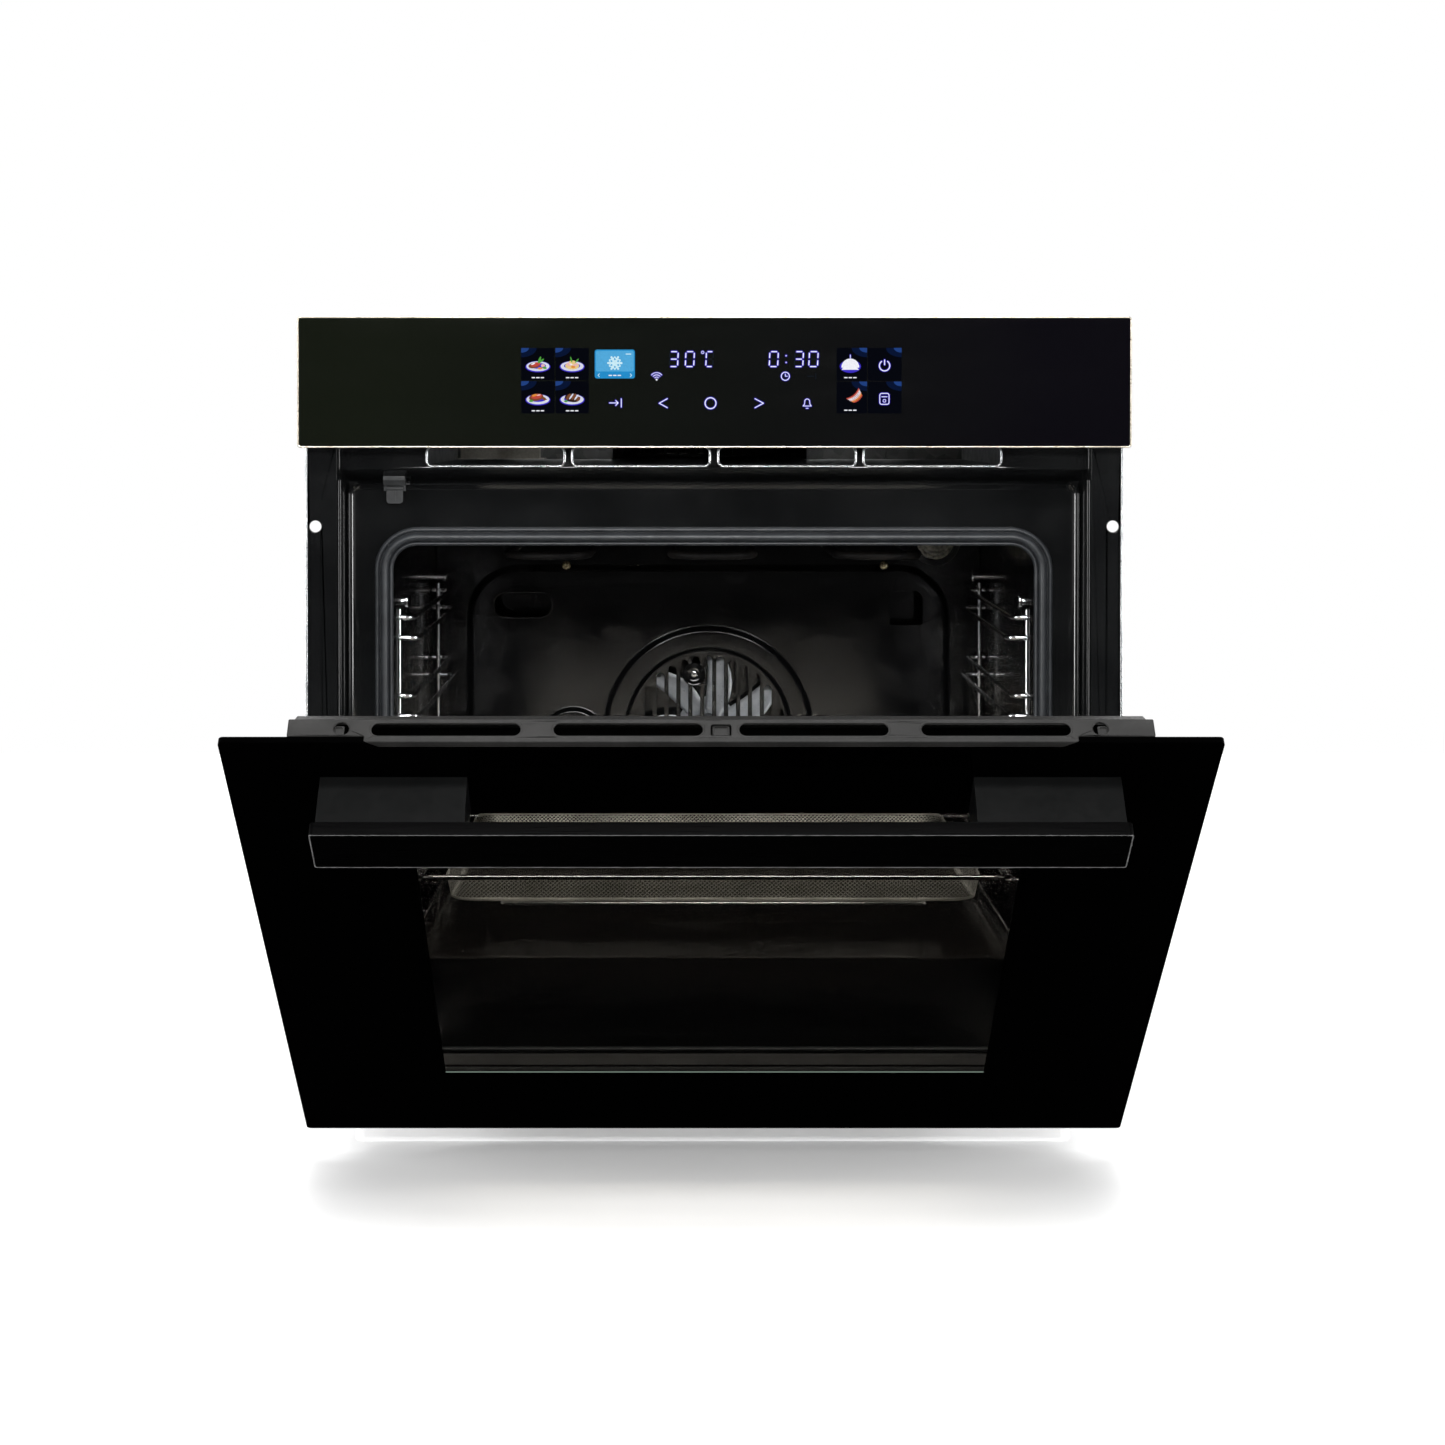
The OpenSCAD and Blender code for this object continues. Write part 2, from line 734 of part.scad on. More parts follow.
module steam_vent() {
    z0 = cavity_top + enamel_t + fit;
    color(zinc) difference() {
        rod_z([vent_x, vent_y, z0], duct_z - z0 - fit, vent_r + 2);
        rod_z([vent_x, vent_y, z0 - 1], duct_z - z0 + 2, vent_r);
    }
}

// ---- Control panel and electrics ----

trim_edge = 1.2;
module control_trim() {
    color([0.75, 0.72, 0.62]) upright(y_front + 0.2, 6) difference() {
        round_rect([-oven_w / 2, z_panel], [oven_w / 2, oven_h], 2.5);
        round_rect([-oven_w / 2 + trim_edge, z_panel + trim_edge], [oven_w / 2 - trim_edge, oven_h - trim_edge],
            1.5);
    }
}

module control_glass() {
    inset = trim_edge + 0.1;
    color(black_glass) upright(y_front, glass_t)
        round_rect([-oven_w / 2 + inset, z_panel + inset], [oven_w / 2 - inset, oven_h - inset], 1.4);
}

module control_carrier() {
    y0 = y_front + glass_t;
    inset = trim_edge + 0.6;
    low = [-oven_w / 2 + inset, y0, z_panel + inset];
    high = [oven_w / 2 - inset, y_flange, oven_h - inset];
    wall = 2.5;
    color([0.1, 0.1, 0.1]) difference() {
        slab(low, high);
        slab(low + [wall, 3, wall], high + [-wall, 1, -wall]);
        slab([display_x - display_w / 2 - module_margin - fit, y0 - 1, display_z - display_h / 2 - module_margin - fit],
            [display_x + display_w / 2 + module_margin + fit, y0 + 5, display_z + display_h / 2 + module_margin + fit]);
    }
}

module display_module() {
    y0 = y_front + glass_t;
    half = [display_w / 2 + module_margin, display_h / 2 + module_margin];
    color([0.03, 0.03, 0.05])
        slab([display_x - half[0], y0, display_z - half[1]], [display_x + half[0], y0 + module_t, display_z + half[1]]);
    color([0.1, 0.35, 0.2])
        slab([display_x - 190, y0 + module_t, display_z - 30], [display_x + 190, y0 + module_t + 1.6, display_z + 30]);
}

board_x = -230;
board_y = y_recess + 90;
board_z = duct_z + duct_h + 10;
module power_board() {
    z = board_z;
    color([0.1, 0.35, 0.2]) slab([board_x, board_y, z], [board_x + 180, board_y + 110, z + 1.6]);
    color([0.15, 0.15, 0.16]) {
        for (i = [0:5]) slab([board_x + 10 + i * 26, board_y + 8, z + 1.6], [board_x + 30 + i * 26, board_y + 24, z + 17]);
        slab([board_x + 20, board_y + 60, z + 1.6], [board_x + 60, board_y + 96, z + 30]);
        for (i = [0:2]) rod_z([board_x + 90 + i * 24, board_y + 78, z + 1.6], 22, 8);
    }
    color(zinc) for (x = [8, 172], y = [6, 104])
        rod_z([board_x + x, board_y + y, duct_z + duct_h], 10, 3);
}

gland_x = -190;
gland_z = 500;
gland_r = 9;
block_y = y_rear - 36;
block_z = gland_z - 14;
block_h = 22;
module terminal_block() {
    color([0.85, 0.85, 0.82]) difference() {
        slab([gland_x - 36, block_y - 14, block_z], [gland_x + 36, block_y + 14, block_z + block_h]);
        for (i = [-2:0]) rod_z([gland_x + i * 13 - 5, block_y, block_z + 10], 14, 4);
    }
    color(zinc) slab([gland_x - 40, block_y - 16, block_z - 2], [gland_x + 40, y_rear - sheet, block_z]);
}

module cable_gland() {
    color([0.12, 0.12, 0.12]) difference() {
        union() {
            rod_y([gland_x, y_rear - 12, gland_z], 12, gland_r - 0.3);
            rod_y([gland_x, y_rear, gland_z], 3, gland_r + 4);
            translate([gland_x, y_rear - 8, gland_z]) rotate([-90, 0, 0]) cylinder(h = 6, r = 13, $fn = 6);
        }
        rod_y([gland_x, y_rear - 14, gland_z], 20, 4.5);
    }
}

// Bundle of leads from the power board back to the terminal block, clipped along the duct
loom_r = 3.5;
loom_bend = 14;
module wiring_loom() {
    x = board_x + 60;
    y0 = board_y + 104;
    z = board_z + 1.6 + loom_r;
    y1 = block_y;
    color([0.15, 0.15, 0.2]) {
        rod_y([x, y0, z], y1 - y0 - loom_bend, loom_r);
        translate([x, y1 - loom_bend, z - loom_bend]) rotate([90, 0, 90])
            rotate_extrude(angle = 90) translate([loom_bend, 0]) circle(loom_r);
        rod_z([x, y1, block_z + block_h], z - loom_bend - block_z - block_h, loom_r);
    }
}

module temperature_probe() {
    color(chrome_wire) rod_y([probe_x, y_panel + 6, probe_z], fan_room + 8, probe_r);
}

// ---- Door hinges and switch, on the casing ----

module hinge_receivers() {
    low = hinge_z + 6;
    high = hinge_z + 36;
    y0 = y_recess + flange_t + 2.5;
    color(zinc) both_sides() difference() {
        slab([arm_x - 4.5, y0, low], [arm_x + 4.5, y0 + 84, high]);
        slab([arm_x - 3, y0 - 1, low - 1], [arm_x + 3, y0 + 82, high - 1.5]);
    }
    color(zinc) both_sides() at_rivets() rod_x([arm_x - 4, 0, 0], 8, rivet_r);
}

rivet_r = 3;
module at_rivets() {
    for (y = [y_recess + 28, y_recess + 68]) translate([0, y, hinge_z + 19]) children();
}

module hinge_arms() {
    color([0.6, 0.6, 0.62]) both_sides() difference() {
        across(arm_x - arm_t / 2, arm_t) union() {
            translate([hinge_y, hinge_z]) circle(arm_ring);
            polygon([
                [hinge_y, hinge_z + arm_ring], [y_recess, hinge_z + 13], [y_recess + 16, hinge_z + 31],
                [y_recess + 80, hinge_z + 31], [y_recess + 80, hinge_z + 8], [y_recess + 14, hinge_z + 4.4],
                [y_recess - 1, hinge_z + 4.4], [hinge_y + 3, hinge_z - 8]
            ]);
        }
        rod_x([arm_x - arm_t, hinge_y, hinge_z], 2 * arm_t, hinge_pin_r + pin_gap);
        at_rivets() rod_x([arm_x - arm_t, 0, 0], 2 * arm_t, rivet_r + pin_gap);
    }
}

switch_x = -232.5;
switch_z = z_recess_top - 5.5;
switch_y = y_recess - 5;
flap_pin_r = 1;
switch_nose = 4;

// Height of the sloping face above the recess, at a depth y
function slope_z(y) = z_recess_top + (z_strip - z_recess_top) * (y_recess - y) / (y_recess - y_strip);

module door_switch() {
    color([0.32, 0.32, 0.33]) {
        across(switch_x - 8, 16) polygon([
            [switch_y, switch_z + 2], [y_recess, switch_z + 2], [y_recess, z_recess_top - fit],
            [switch_y - switch_nose, slope_z(switch_y - switch_nose) - fit],
            [switch_y - switch_nose, slope_z(switch_y - switch_nose) - 3.5]
        ]);
        slab([switch_x + 8, switch_y + 2, switch_z + 2.5], [switch_x + 11, y_recess, switch_z + 5]);
        both_sides_of(switch_x) slab([6.4, switch_y + 0.4, switch_z - 2], [8, y_recess, switch_z + 2]);
        rod_x([switch_x - 7, switch_y + 2, switch_z], 14, flap_pin_r);
    }
}

module both_sides_of(x) { translate([x, 0, 0]) both_sides() children(); }

module switch_flap() {
    color([0.38, 0.38, 0.39]) difference() {
        union() {
            rod_x([switch_x - 6, switch_y + 2, switch_z], 12, flap_pin_r + 0.8);
            upright(switch_y + 1, 2) translate([switch_x, switch_z]) round_rect([-6, -11], [6, 0], 2.5);
            slab([switch_x - 0.8, switch_y, switch_z - 9], [switch_x + 0.8, switch_y + 2, switch_z - 2]);
        }
        rod_x([switch_x - 8, switch_y + 2, switch_z], 16, flap_pin_r + pin_gap);
    }
}

// ---- Door ----

handle_screws = [bracket_x + screw_inset, bracket_x + bracket_w - screw_inset];
module at_handle_screws() {
    both_sides() for (x = handle_screws) translate([x, 0, handle_z + handle_h / 2]) children();
}

module door_outer_glass() {
    half = oven_w / 2;
    n = notch_w / 2;
    color(black_glass) in_door() difference() {
        upright(0, glass_t) difference() {
            round_rect([-half, 0], [half, door_h], 3);
            polygon([
                [-n - notch_taper, door_h + 1], [-n - notch_taper, door_h], [-n, door_h - notch_h],
                [n, door_h - notch_h], [n + notch_taper, door_h], [n + notch_taper, door_h + 1]
            ]);
        }
        at_handle_screws() rod_y([0, -1, 0], glass_t + 2, screw_r + 0.6);
    }
}

module window() {
    square_between([-window_w / 2, door_h - window_top - window_h], [window_w / 2, door_h - window_top]);
}

module door_glass_print() {
    half = oven_w / 2 - 2;
    color([0.02, 0.02, 0.02]) in_door() difference() {
        upright(glass_t, print_t) difference() {
            square_between([-half, 2], [half, door_h - notch_h - 1]);
            window();
        }
        at_handle_screws() rod_y([0, 0, 0], glass_t + 2, screw_r + 0.6);
    }
}

module door_middle_glass() {
    half = frame_w / 2 - rail_w - 1;
    color([0.7, 0.75, 0.75, 0.4]) in_door()
        slab([-half, door_t / 2, pane_foot + 4], [half, door_t / 2 + glass_t, door_h - trim_h - 4]);
}

module door_inner_glass() {
    half = frame_w / 2 - rail_w - 0.2;
    color([0.7, 0.75, 0.75, 0.4]) in_door()
        slab([-half, door_t - glass_t, pane_foot + 0.2], [half, door_t, door_h - trim_h - 0.2]);
}

// Outline of the top trim: a flat top, then a slope back down to the inner face
module trim_outline(inset, front) {
    polygon([
        [front + inset, door_h - inset], [trim_flat - inset, door_h - inset],
        [trim_flat + 2 - inset, door_h - 8 - inset / 2], [door_t - inset, door_h - 26 - inset / 2],
        [door_t - inset, door_h - trim_h + inset], [front + inset, door_h - trim_h + inset]
    ]);
}

module trim_slots() {
    both_sides() for (x = [10, 118]) translate([x, 4.2, door_h - 12]) linear_extrude(20)
        stadium([0, 0], [90, 10.6]);
}

module door_top_trim() {
    half = frame_w / 2;
    wall = 2;
    lip = notch_w / 2 - 0.3;
    color(dark_trim) in_door() difference() {
        union() {
            across(-half, 2 * half) trim_outline(0, t_frame);
            upright(0.3, t_frame) polygon([
                [-lip - notch_taper, door_h], [-lip, door_h - notch_h + 0.3], [lip, door_h - notch_h + 0.3],
                [lip + notch_taper, door_h]
            ]);
        }
        across(-half + wall, 2 * half - 2 * wall) trim_outline(wall, t_frame);
        trim_slots();
        slab([-6, 5, door_h - 3], [6, 13, door_h + 1]);
        both_sides() rod_z([225, 10, door_h - 4], 8, 4.5);
    }
}

module door_side_rails() {
    half = frame_w / 2;
    color(dark_trim) in_door() both_sides() difference() {
        across(half - rail_w, rail_w) polygon([
            [t_frame, rail_foot], [hinge_in, rail_foot], [hinge_in + corner[0], hinge_up - corner[1]],
            [door_t, hinge_up], [door_t, door_h - trim_h], [t_frame, door_h - trim_h]
        ]);
        slab([half - rail_w + rail_wall, t_frame + rail_wall, rail_foot - 1],
            [half - rail_wall, door_t - rail_wall, door_h - trim_h - rail_wall]);
        slab([arm_x - arm_t / 2 - 1, hinge_in - arm_ring - 0.6, rail_foot - 1],
            [arm_x + arm_t / 2 + 1, door_t + 1, hinge_up + 13.5]);
    }
}

module door_bottom_rail() {
    half = frame_w / 2;
    inner = half - rail_w;
    foot = 4;
    wall = 2;
    color(dark_trim) in_door() difference() {
        union() {
            slab([-half, t_frame, foot], [half, lower_t, rail_foot]);
            across(-inner, 2 * inner) polygon([
                [t_frame, rail_foot], [hinge_in, rail_foot], [hinge_in + corner[0], hinge_up - corner[1]],
                [door_t, hinge_up], [door_t, pane_foot], [t_frame, pane_foot]
            ]);
        }
        slab([-half + wall, t_frame + wall, foot + wall], [half - wall, lower_t - wall, rail_foot - wall]);
        slab([-inner + wall, t_frame + wall, rail_foot + wall], [inner - wall, door_t - wall - 4, pane_foot - wall]);
    }
}

module hinge_channels() {
    wall = 1.5;
    gap = 2;
    inner = arm_t / 2 + gap;
    color(zinc) in_door() both_sides() {
        difference() {
            slab([arm_x - inner - wall, 9, rail_foot + 1], [arm_x + inner + wall, door_t - 4, rail_foot + 215]);
            slab([arm_x - inner, 9 + wall, rail_foot], [arm_x + inner, door_t, rail_foot + 216]);
        }
        rod_x([arm_x - inner - 1, hinge_in, hinge_up], 2 * inner + 2, hinge_pin_r);
        difference() {
            slab([arm_x - inner, 20, rail_foot + 140], [arm_x + inner, door_t - 4, rail_foot + 144]);
            rod_z([arm_x, hinge_in - 1, rail_foot + 139], 6, 2.4);
        }
    }
}

module hinge_strut() {
    color([0.7, 0.7, 0.72]) in_door() {
        slab([arm_x - arm_t / 2, hinge_in - 5, hinge_up + 30], [arm_x + arm_t / 2, hinge_in + 3, hinge_up + 82]);
        rod_z([arm_x, hinge_in - 1, hinge_up + 80], 96, 1.4);
        rod_z([arm_x, hinge_in - 1, hinge_up + 166], 4, 3.1);
    }
}

module handle_bar() {
    half = handle_w / 2;
    color([0.1, 0.1, 0.1]) in_door() difference() {
        upright(-handle_gap - handle_t, handle_t) round_rect([-half, handle_z], [half, handle_z + handle_h], 3);
        at_handle_screws() rod_y([0, -handle_gap - 4, 0], 8, screw_r);
    }
}

module handle_brackets() {
    wall = 3;
    color([0.14, 0.145, 0.145]) in_door() difference() {
        both_sides() difference() {
            slab([bracket_x, -handle_gap, handle_z + 2], [bracket_x + bracket_w, 0, handle_z + handle_h]);
            slab([bracket_x + wall, -handle_gap + wall, handle_z + 2 + wall],
                [bracket_x + bracket_w - wall, -wall, handle_z + handle_h - wall]);
        }
        at_handle_screws() rod_y([0, -handle_gap - 1, 0], handle_gap + 2, screw_r);
    }
    color(zinc) in_door() at_handle_screws() {
        rod_y([0, -handle_gap - 4, 0], handle_gap + t_frame + 4, screw_r);
        rod_y([0, t_frame, 0], 2.5, 2 * screw_r);
    }
}

// ---- Trays ----

// Dished tray between two outlines, open at the top
module dish(low, high, z_low, z_high, top_r, draft) {
    hull() {
        translate([0, 0, z_high - 0.1]) linear_extrude(0.1) round_rect(low, high, top_r, $fn = 32);
        translate([0, 0, z_low]) linear_extrude(0.1)
            round_rect(low + [draft, draft], high - [draft, draft], top_r, $fn = 32);
    }
}

module baking_tray() {
    wall = 1.2;
    rim = 11;
    draft = 38;
    low = [-tray_w / 2 + rim, tray_y0 + rim];
    high = [tray_w / 2 - rim, tray_y1 - rim];
    color([0.12, 0.13, 0.15]) {
        difference() {
            dish(low, high, tray_z - tray_deep, tray_z + wall, 16, draft);
            dish(low + [wall, wall], high - [wall, wall], tray_z - tray_deep + wall, tray_z + wall + 0.5, 15, draft);
        }
        translate([0, 0, tray_z]) linear_extrude(wall) difference() {
            round_rect(low - [rim, rim], high + [rim, rim], 18);
            round_rect(low + [0.6, 0.6], high - [0.6, 0.6], 15.4);
        }
    }
}

module air_fry_basket() {
    wall = 1.2;
    low = [-basket_w / 2, basket_y0 + 10];
    high = [basket_w / 2, basket_y1 - 10];
    top = basket_z - 1;
    color([0.5, 0.5, 0.5]) difference() {
        dish(low, high, top - basket_deep, top, 20, 4);
        dish(low + [wall, wall], high - [wall, wall], top - basket_deep + wall, top + 0.5, 19, 4);
    }
}

module basket_frame() {
    x = basket_frame_x;
    r = 14;
    y0 = basket_y0 + wire_r;
    y1 = basket_y1 - wire_r;
    color(chrome_wire) {
        both_sides() {
            rod_y([x, y0 + r, basket_z], y1 - y0 - 2 * r, wire_r);
            elbow([x - r, y1 - r, basket_z], 0, r, wire_r);
            elbow([x - r, y0 + r, basket_z], 270, r, wire_r);
        }
        for (y = [y0, y1]) rod_x([r - x, y, basket_z], 2 * x - 2 * r, wire_r);
        both_sides() for (y = [y0 + 40, (y0 + y1) / 2, y1 - 40])
            rod_x([basket_w / 2 - 3, y, basket_z], x - basket_w / 2 + 3, 1.5);
    }
}

base_plate();
mirror([1, 0, 0]) side_panel();  // side_panel_left
side_panel();  // side_panel_right
top_cover();
rear_panel();
casing_screws();
front_frame();
door_gasket();
cavity();
cavity_back();
fan_panel();
panel_screws();
ring_element();
grill_element();
bottom_element();
insulation_jacket();
insulation_rear();
mirror([1, 0, 0]) side_rack();  // side_rack_left
side_rack();  // side_rack_right
rack_studs();
lamp_ring();
lamp_glass();
lamp_bulb();
lamp_holder();
fan_motor();
convection_fan();
fan_nut();
cooling_duct();
blower_housing();
cooling_motor();
cooling_rotor();
steam_vent();
control_trim();
control_glass();
control_carrier();
display_module();
power_board();
terminal_block();
cable_gland();
wiring_loom();
temperature_probe();
hinge_receivers();
hinge_arms();
door_switch();
switch_flap();
door_outer_glass();
door_glass_print();
door_middle_glass();
door_inner_glass();
door_top_trim();
door_side_rails();
door_bottom_rail();
hinge_channels();
mirror([1, 0, 0]) hinge_strut();  // hinge_strut_left
hinge_strut();  // hinge_strut_right
handle_bar();
handle_brackets();
baking_tray();
air_fry_basket();
basket_frame();
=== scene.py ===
"""The looks of a black built-in wall oven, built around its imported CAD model.

Lengths are millimetres in the CAD model's frame, and the helpers turn them into metres. The door's
pieces are given in the closed door's own places: x across, t in from its face, z up from its foot.
"""

import json
import math

import bpy
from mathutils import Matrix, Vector


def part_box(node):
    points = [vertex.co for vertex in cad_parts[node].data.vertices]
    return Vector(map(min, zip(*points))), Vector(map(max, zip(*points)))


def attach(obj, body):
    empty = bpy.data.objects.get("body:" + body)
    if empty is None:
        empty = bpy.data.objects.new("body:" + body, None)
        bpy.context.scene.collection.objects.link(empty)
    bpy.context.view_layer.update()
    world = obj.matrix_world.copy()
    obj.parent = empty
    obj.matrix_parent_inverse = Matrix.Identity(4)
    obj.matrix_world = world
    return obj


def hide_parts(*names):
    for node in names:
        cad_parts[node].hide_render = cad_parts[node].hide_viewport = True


MM = 0.001
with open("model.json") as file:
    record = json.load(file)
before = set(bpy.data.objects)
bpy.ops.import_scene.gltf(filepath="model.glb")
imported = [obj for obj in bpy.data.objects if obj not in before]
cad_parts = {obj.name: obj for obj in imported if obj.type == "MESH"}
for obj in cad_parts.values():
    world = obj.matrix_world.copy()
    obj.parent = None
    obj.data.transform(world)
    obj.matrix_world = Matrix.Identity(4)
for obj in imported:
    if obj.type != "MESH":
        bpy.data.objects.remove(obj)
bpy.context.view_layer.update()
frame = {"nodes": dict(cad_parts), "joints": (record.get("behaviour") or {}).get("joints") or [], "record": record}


# ---- Places taken from the frame ----

def low(node):
    """Lowest corner of a CAD node in millimetres."""
    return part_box(node)[0] / MM


def high(node):
    """Highest corner of a CAD node in millimetres."""
    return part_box(node)[1] / MM


def joint(name):
    """A joint of the CAD model."""
    return next(j for j in frame["joints"] if j["name"] == name)


HINGE = joint("door_hinge")
HINGE_Y, HINGE_Z = (c / MM for c in HINGE["pos_m"][1:])
DOOR_OPEN = math.radians(-HINGE["range_deg"][0])
HINGE_IN = 30
HINGE_UP = 41.8
FAN_Z = joint("fan_spin")["pos_m"][2] / MM
PANEL_Y = low("control_glass").y
RECESS_Y = high("door_gasket").y


def door_point(x, t, z):
    """The place of a point of the door, which stands open at rest."""
    c, s = math.cos(DOOR_OPEN), math.sin(DOOR_OPEN)
    t, z = t - HINGE_IN, z - HINGE_UP
    return x, HINGE_Y + t * c - z * s, HINGE_Z + t * s + z * c


# ---- Camera, lights and floor ----

def aim(obj, target):
    obj.rotation_euler = (Vector(target) - obj.location).to_track_quat("-Z", "Y").to_euler()


def place(name, data, location):
    obj = bpy.data.objects.new(name, data)
    obj.location = location
    bpy.context.scene.collection.objects.link(obj)
    return obj


def make_camera():
    data = bpy.data.cameras.new("camera")
    data.sensor_width = 36
    data.lens = 63.75
    data.shift_x = 0.0281
    data.shift_y = -0.1785
    camera = place("camera", data, (-0.0232, -2.154, 0.5213))
    camera.rotation_euler = (math.radians(89), 0, 0)
    bpy.context.scene.camera = camera


def softbox(name, location, target, width, height, power):
    """A rectangular light that the camera doesn't see."""
    data = bpy.data.lights.new(name, "AREA")
    data.shape = "RECTANGLE"
    data.size = width
    data.size_y = height
    data.energy = power
    lamp = place(name, data, location)
    aim(lamp, target)
    lamp.visible_camera = False


def make_lights():
    centre = (0, -0.2, 0.3)
    softbox("softbox_top", (0, -0.4, 2.4), centre, 2.0, 0.7, 28)
    softbox("softbox_front_high", (0, -2.1, 2.3), centre, 1.3, 0.3, 34)
    softbox("softbox_left", (-2.3, -1.3, 0.75), (0, -0.3, 0.3), 0.35, 1.6, 34)
    softbox("softbox_right", (2.3, -1.3, 0.75), (0, -0.3, 0.3), 0.35, 1.6, 34)
    softbox("softbox_front_low", (0, -2.7, 1.05), (0, 0, 0.25), 1.3, 0.22, 34)
    softbox("softbox_back", (0, 2.6, 1.9), centre, 2.4, 1.2, 40)


def feed(tree, value, socket):
    """Links an output to a socket, or sets the socket to a number."""
    if isinstance(value, (int, float)):
        socket.default_value = value
    else:
        tree.links.new(value, socket)


def math_node(tree, kind, a, b):
    made = tree.nodes.new("ShaderNodeMath")
    made.operation = kind
    feed(tree, a, made.inputs[0])
    feed(tree, b, made.inputs[1])
    return made.outputs[0]


def span_node(tree, value, start, end, to_start, to_end, kind="LINEAR"):
    """Maps value from start..end to another range, kept inside it."""
    made = tree.nodes.new("ShaderNodeMapRange")
    made.interpolation_type = kind
    feed(tree, value, made.inputs["Value"])
    ends = {"From Min": start, "From Max": end, "To Min": to_start, "To Max": to_end}
    for name, number in ends.items():
        made.inputs[name].default_value = number
    return made.outputs[0]


def mixed(tree, share, a, b):
    """One shader that turns into another as share goes from 0 to 1."""
    made = tree.nodes.new("ShaderNodeMixShader")
    for socket, value in zip(made.inputs, (share, a, b)):
        tree.links.new(value, socket)
    return made.outputs[0]


def background(tree, strength):
    made = tree.nodes.new("ShaderNodeBackground")
    made.inputs["Color"].default_value = (1, 1, 1, 1)
    feed(tree, strength, made.inputs["Strength"])
    return made.outputs[0]


def mirror_room(tree, x, y, z):
    """What mirrors see: dark in front and below, pale walls at the sides, above and behind."""
    def zone(a, a_ends, b, b_ends):
        return math_node(tree, "MULTIPLY", span_node(tree, a, *a_ends, "SMOOTHSTEP"),
                         span_node(tree, b, *b_ends, "SMOOTHSTEP"))

    across = math_node(tree, "ABSOLUTE", x, 0)
    sides = zone(across, (0.35, 0.8, 0, 0.55), z, (-0.45, -0.1, 0, 1))
    over = zone(z, (0.25, 0.8, 0, 0.5), y, (-0.8, 0.2, 0.3, 1))
    behind = zone(y, (0.2, 0.7, 0, 0.7), z, (-0.4, 0.1, 0, 1))
    brightest = math_node(tree, "MAXIMUM", math_node(tree, "MAXIMUM", sides, over), behind)
    return math_node(tree, "ADD", brightest, 0.012)


def make_world():
    """White to the camera, a pale sky for matt surfaces and a dark room for mirrors."""
    world = bpy.data.worlds.new("studio")
    world.use_nodes = True
    bpy.context.scene.world = world
    tree = world.node_tree
    tree.nodes.clear()
    parts = tree.nodes.new("ShaderNodeSeparateXYZ")
    tree.links.new(tree.nodes.new("ShaderNodeTexCoord").outputs["Generated"], parts.inputs[0])
    sky = span_node(tree, parts.outputs[2], -0.1, 0.3, 0.3, 1.0, "SMOOTHSTEP")
    ray = tree.nodes.new("ShaderNodeLightPath")
    lit = background(tree, mirror_room(tree, *parts.outputs))
    lit = mixed(tree, ray.outputs["Is Diffuse Ray"], lit, background(tree, sky))
    lit = mixed(tree, ray.outputs["Is Camera Ray"], lit, background(tree, 1))
    tree.links.new(lit, tree.nodes.new("ShaderNodeOutputWorld").inputs[0])
    bpy.context.scene.view_settings.view_transform = "Standard"


# ---- Materials ----

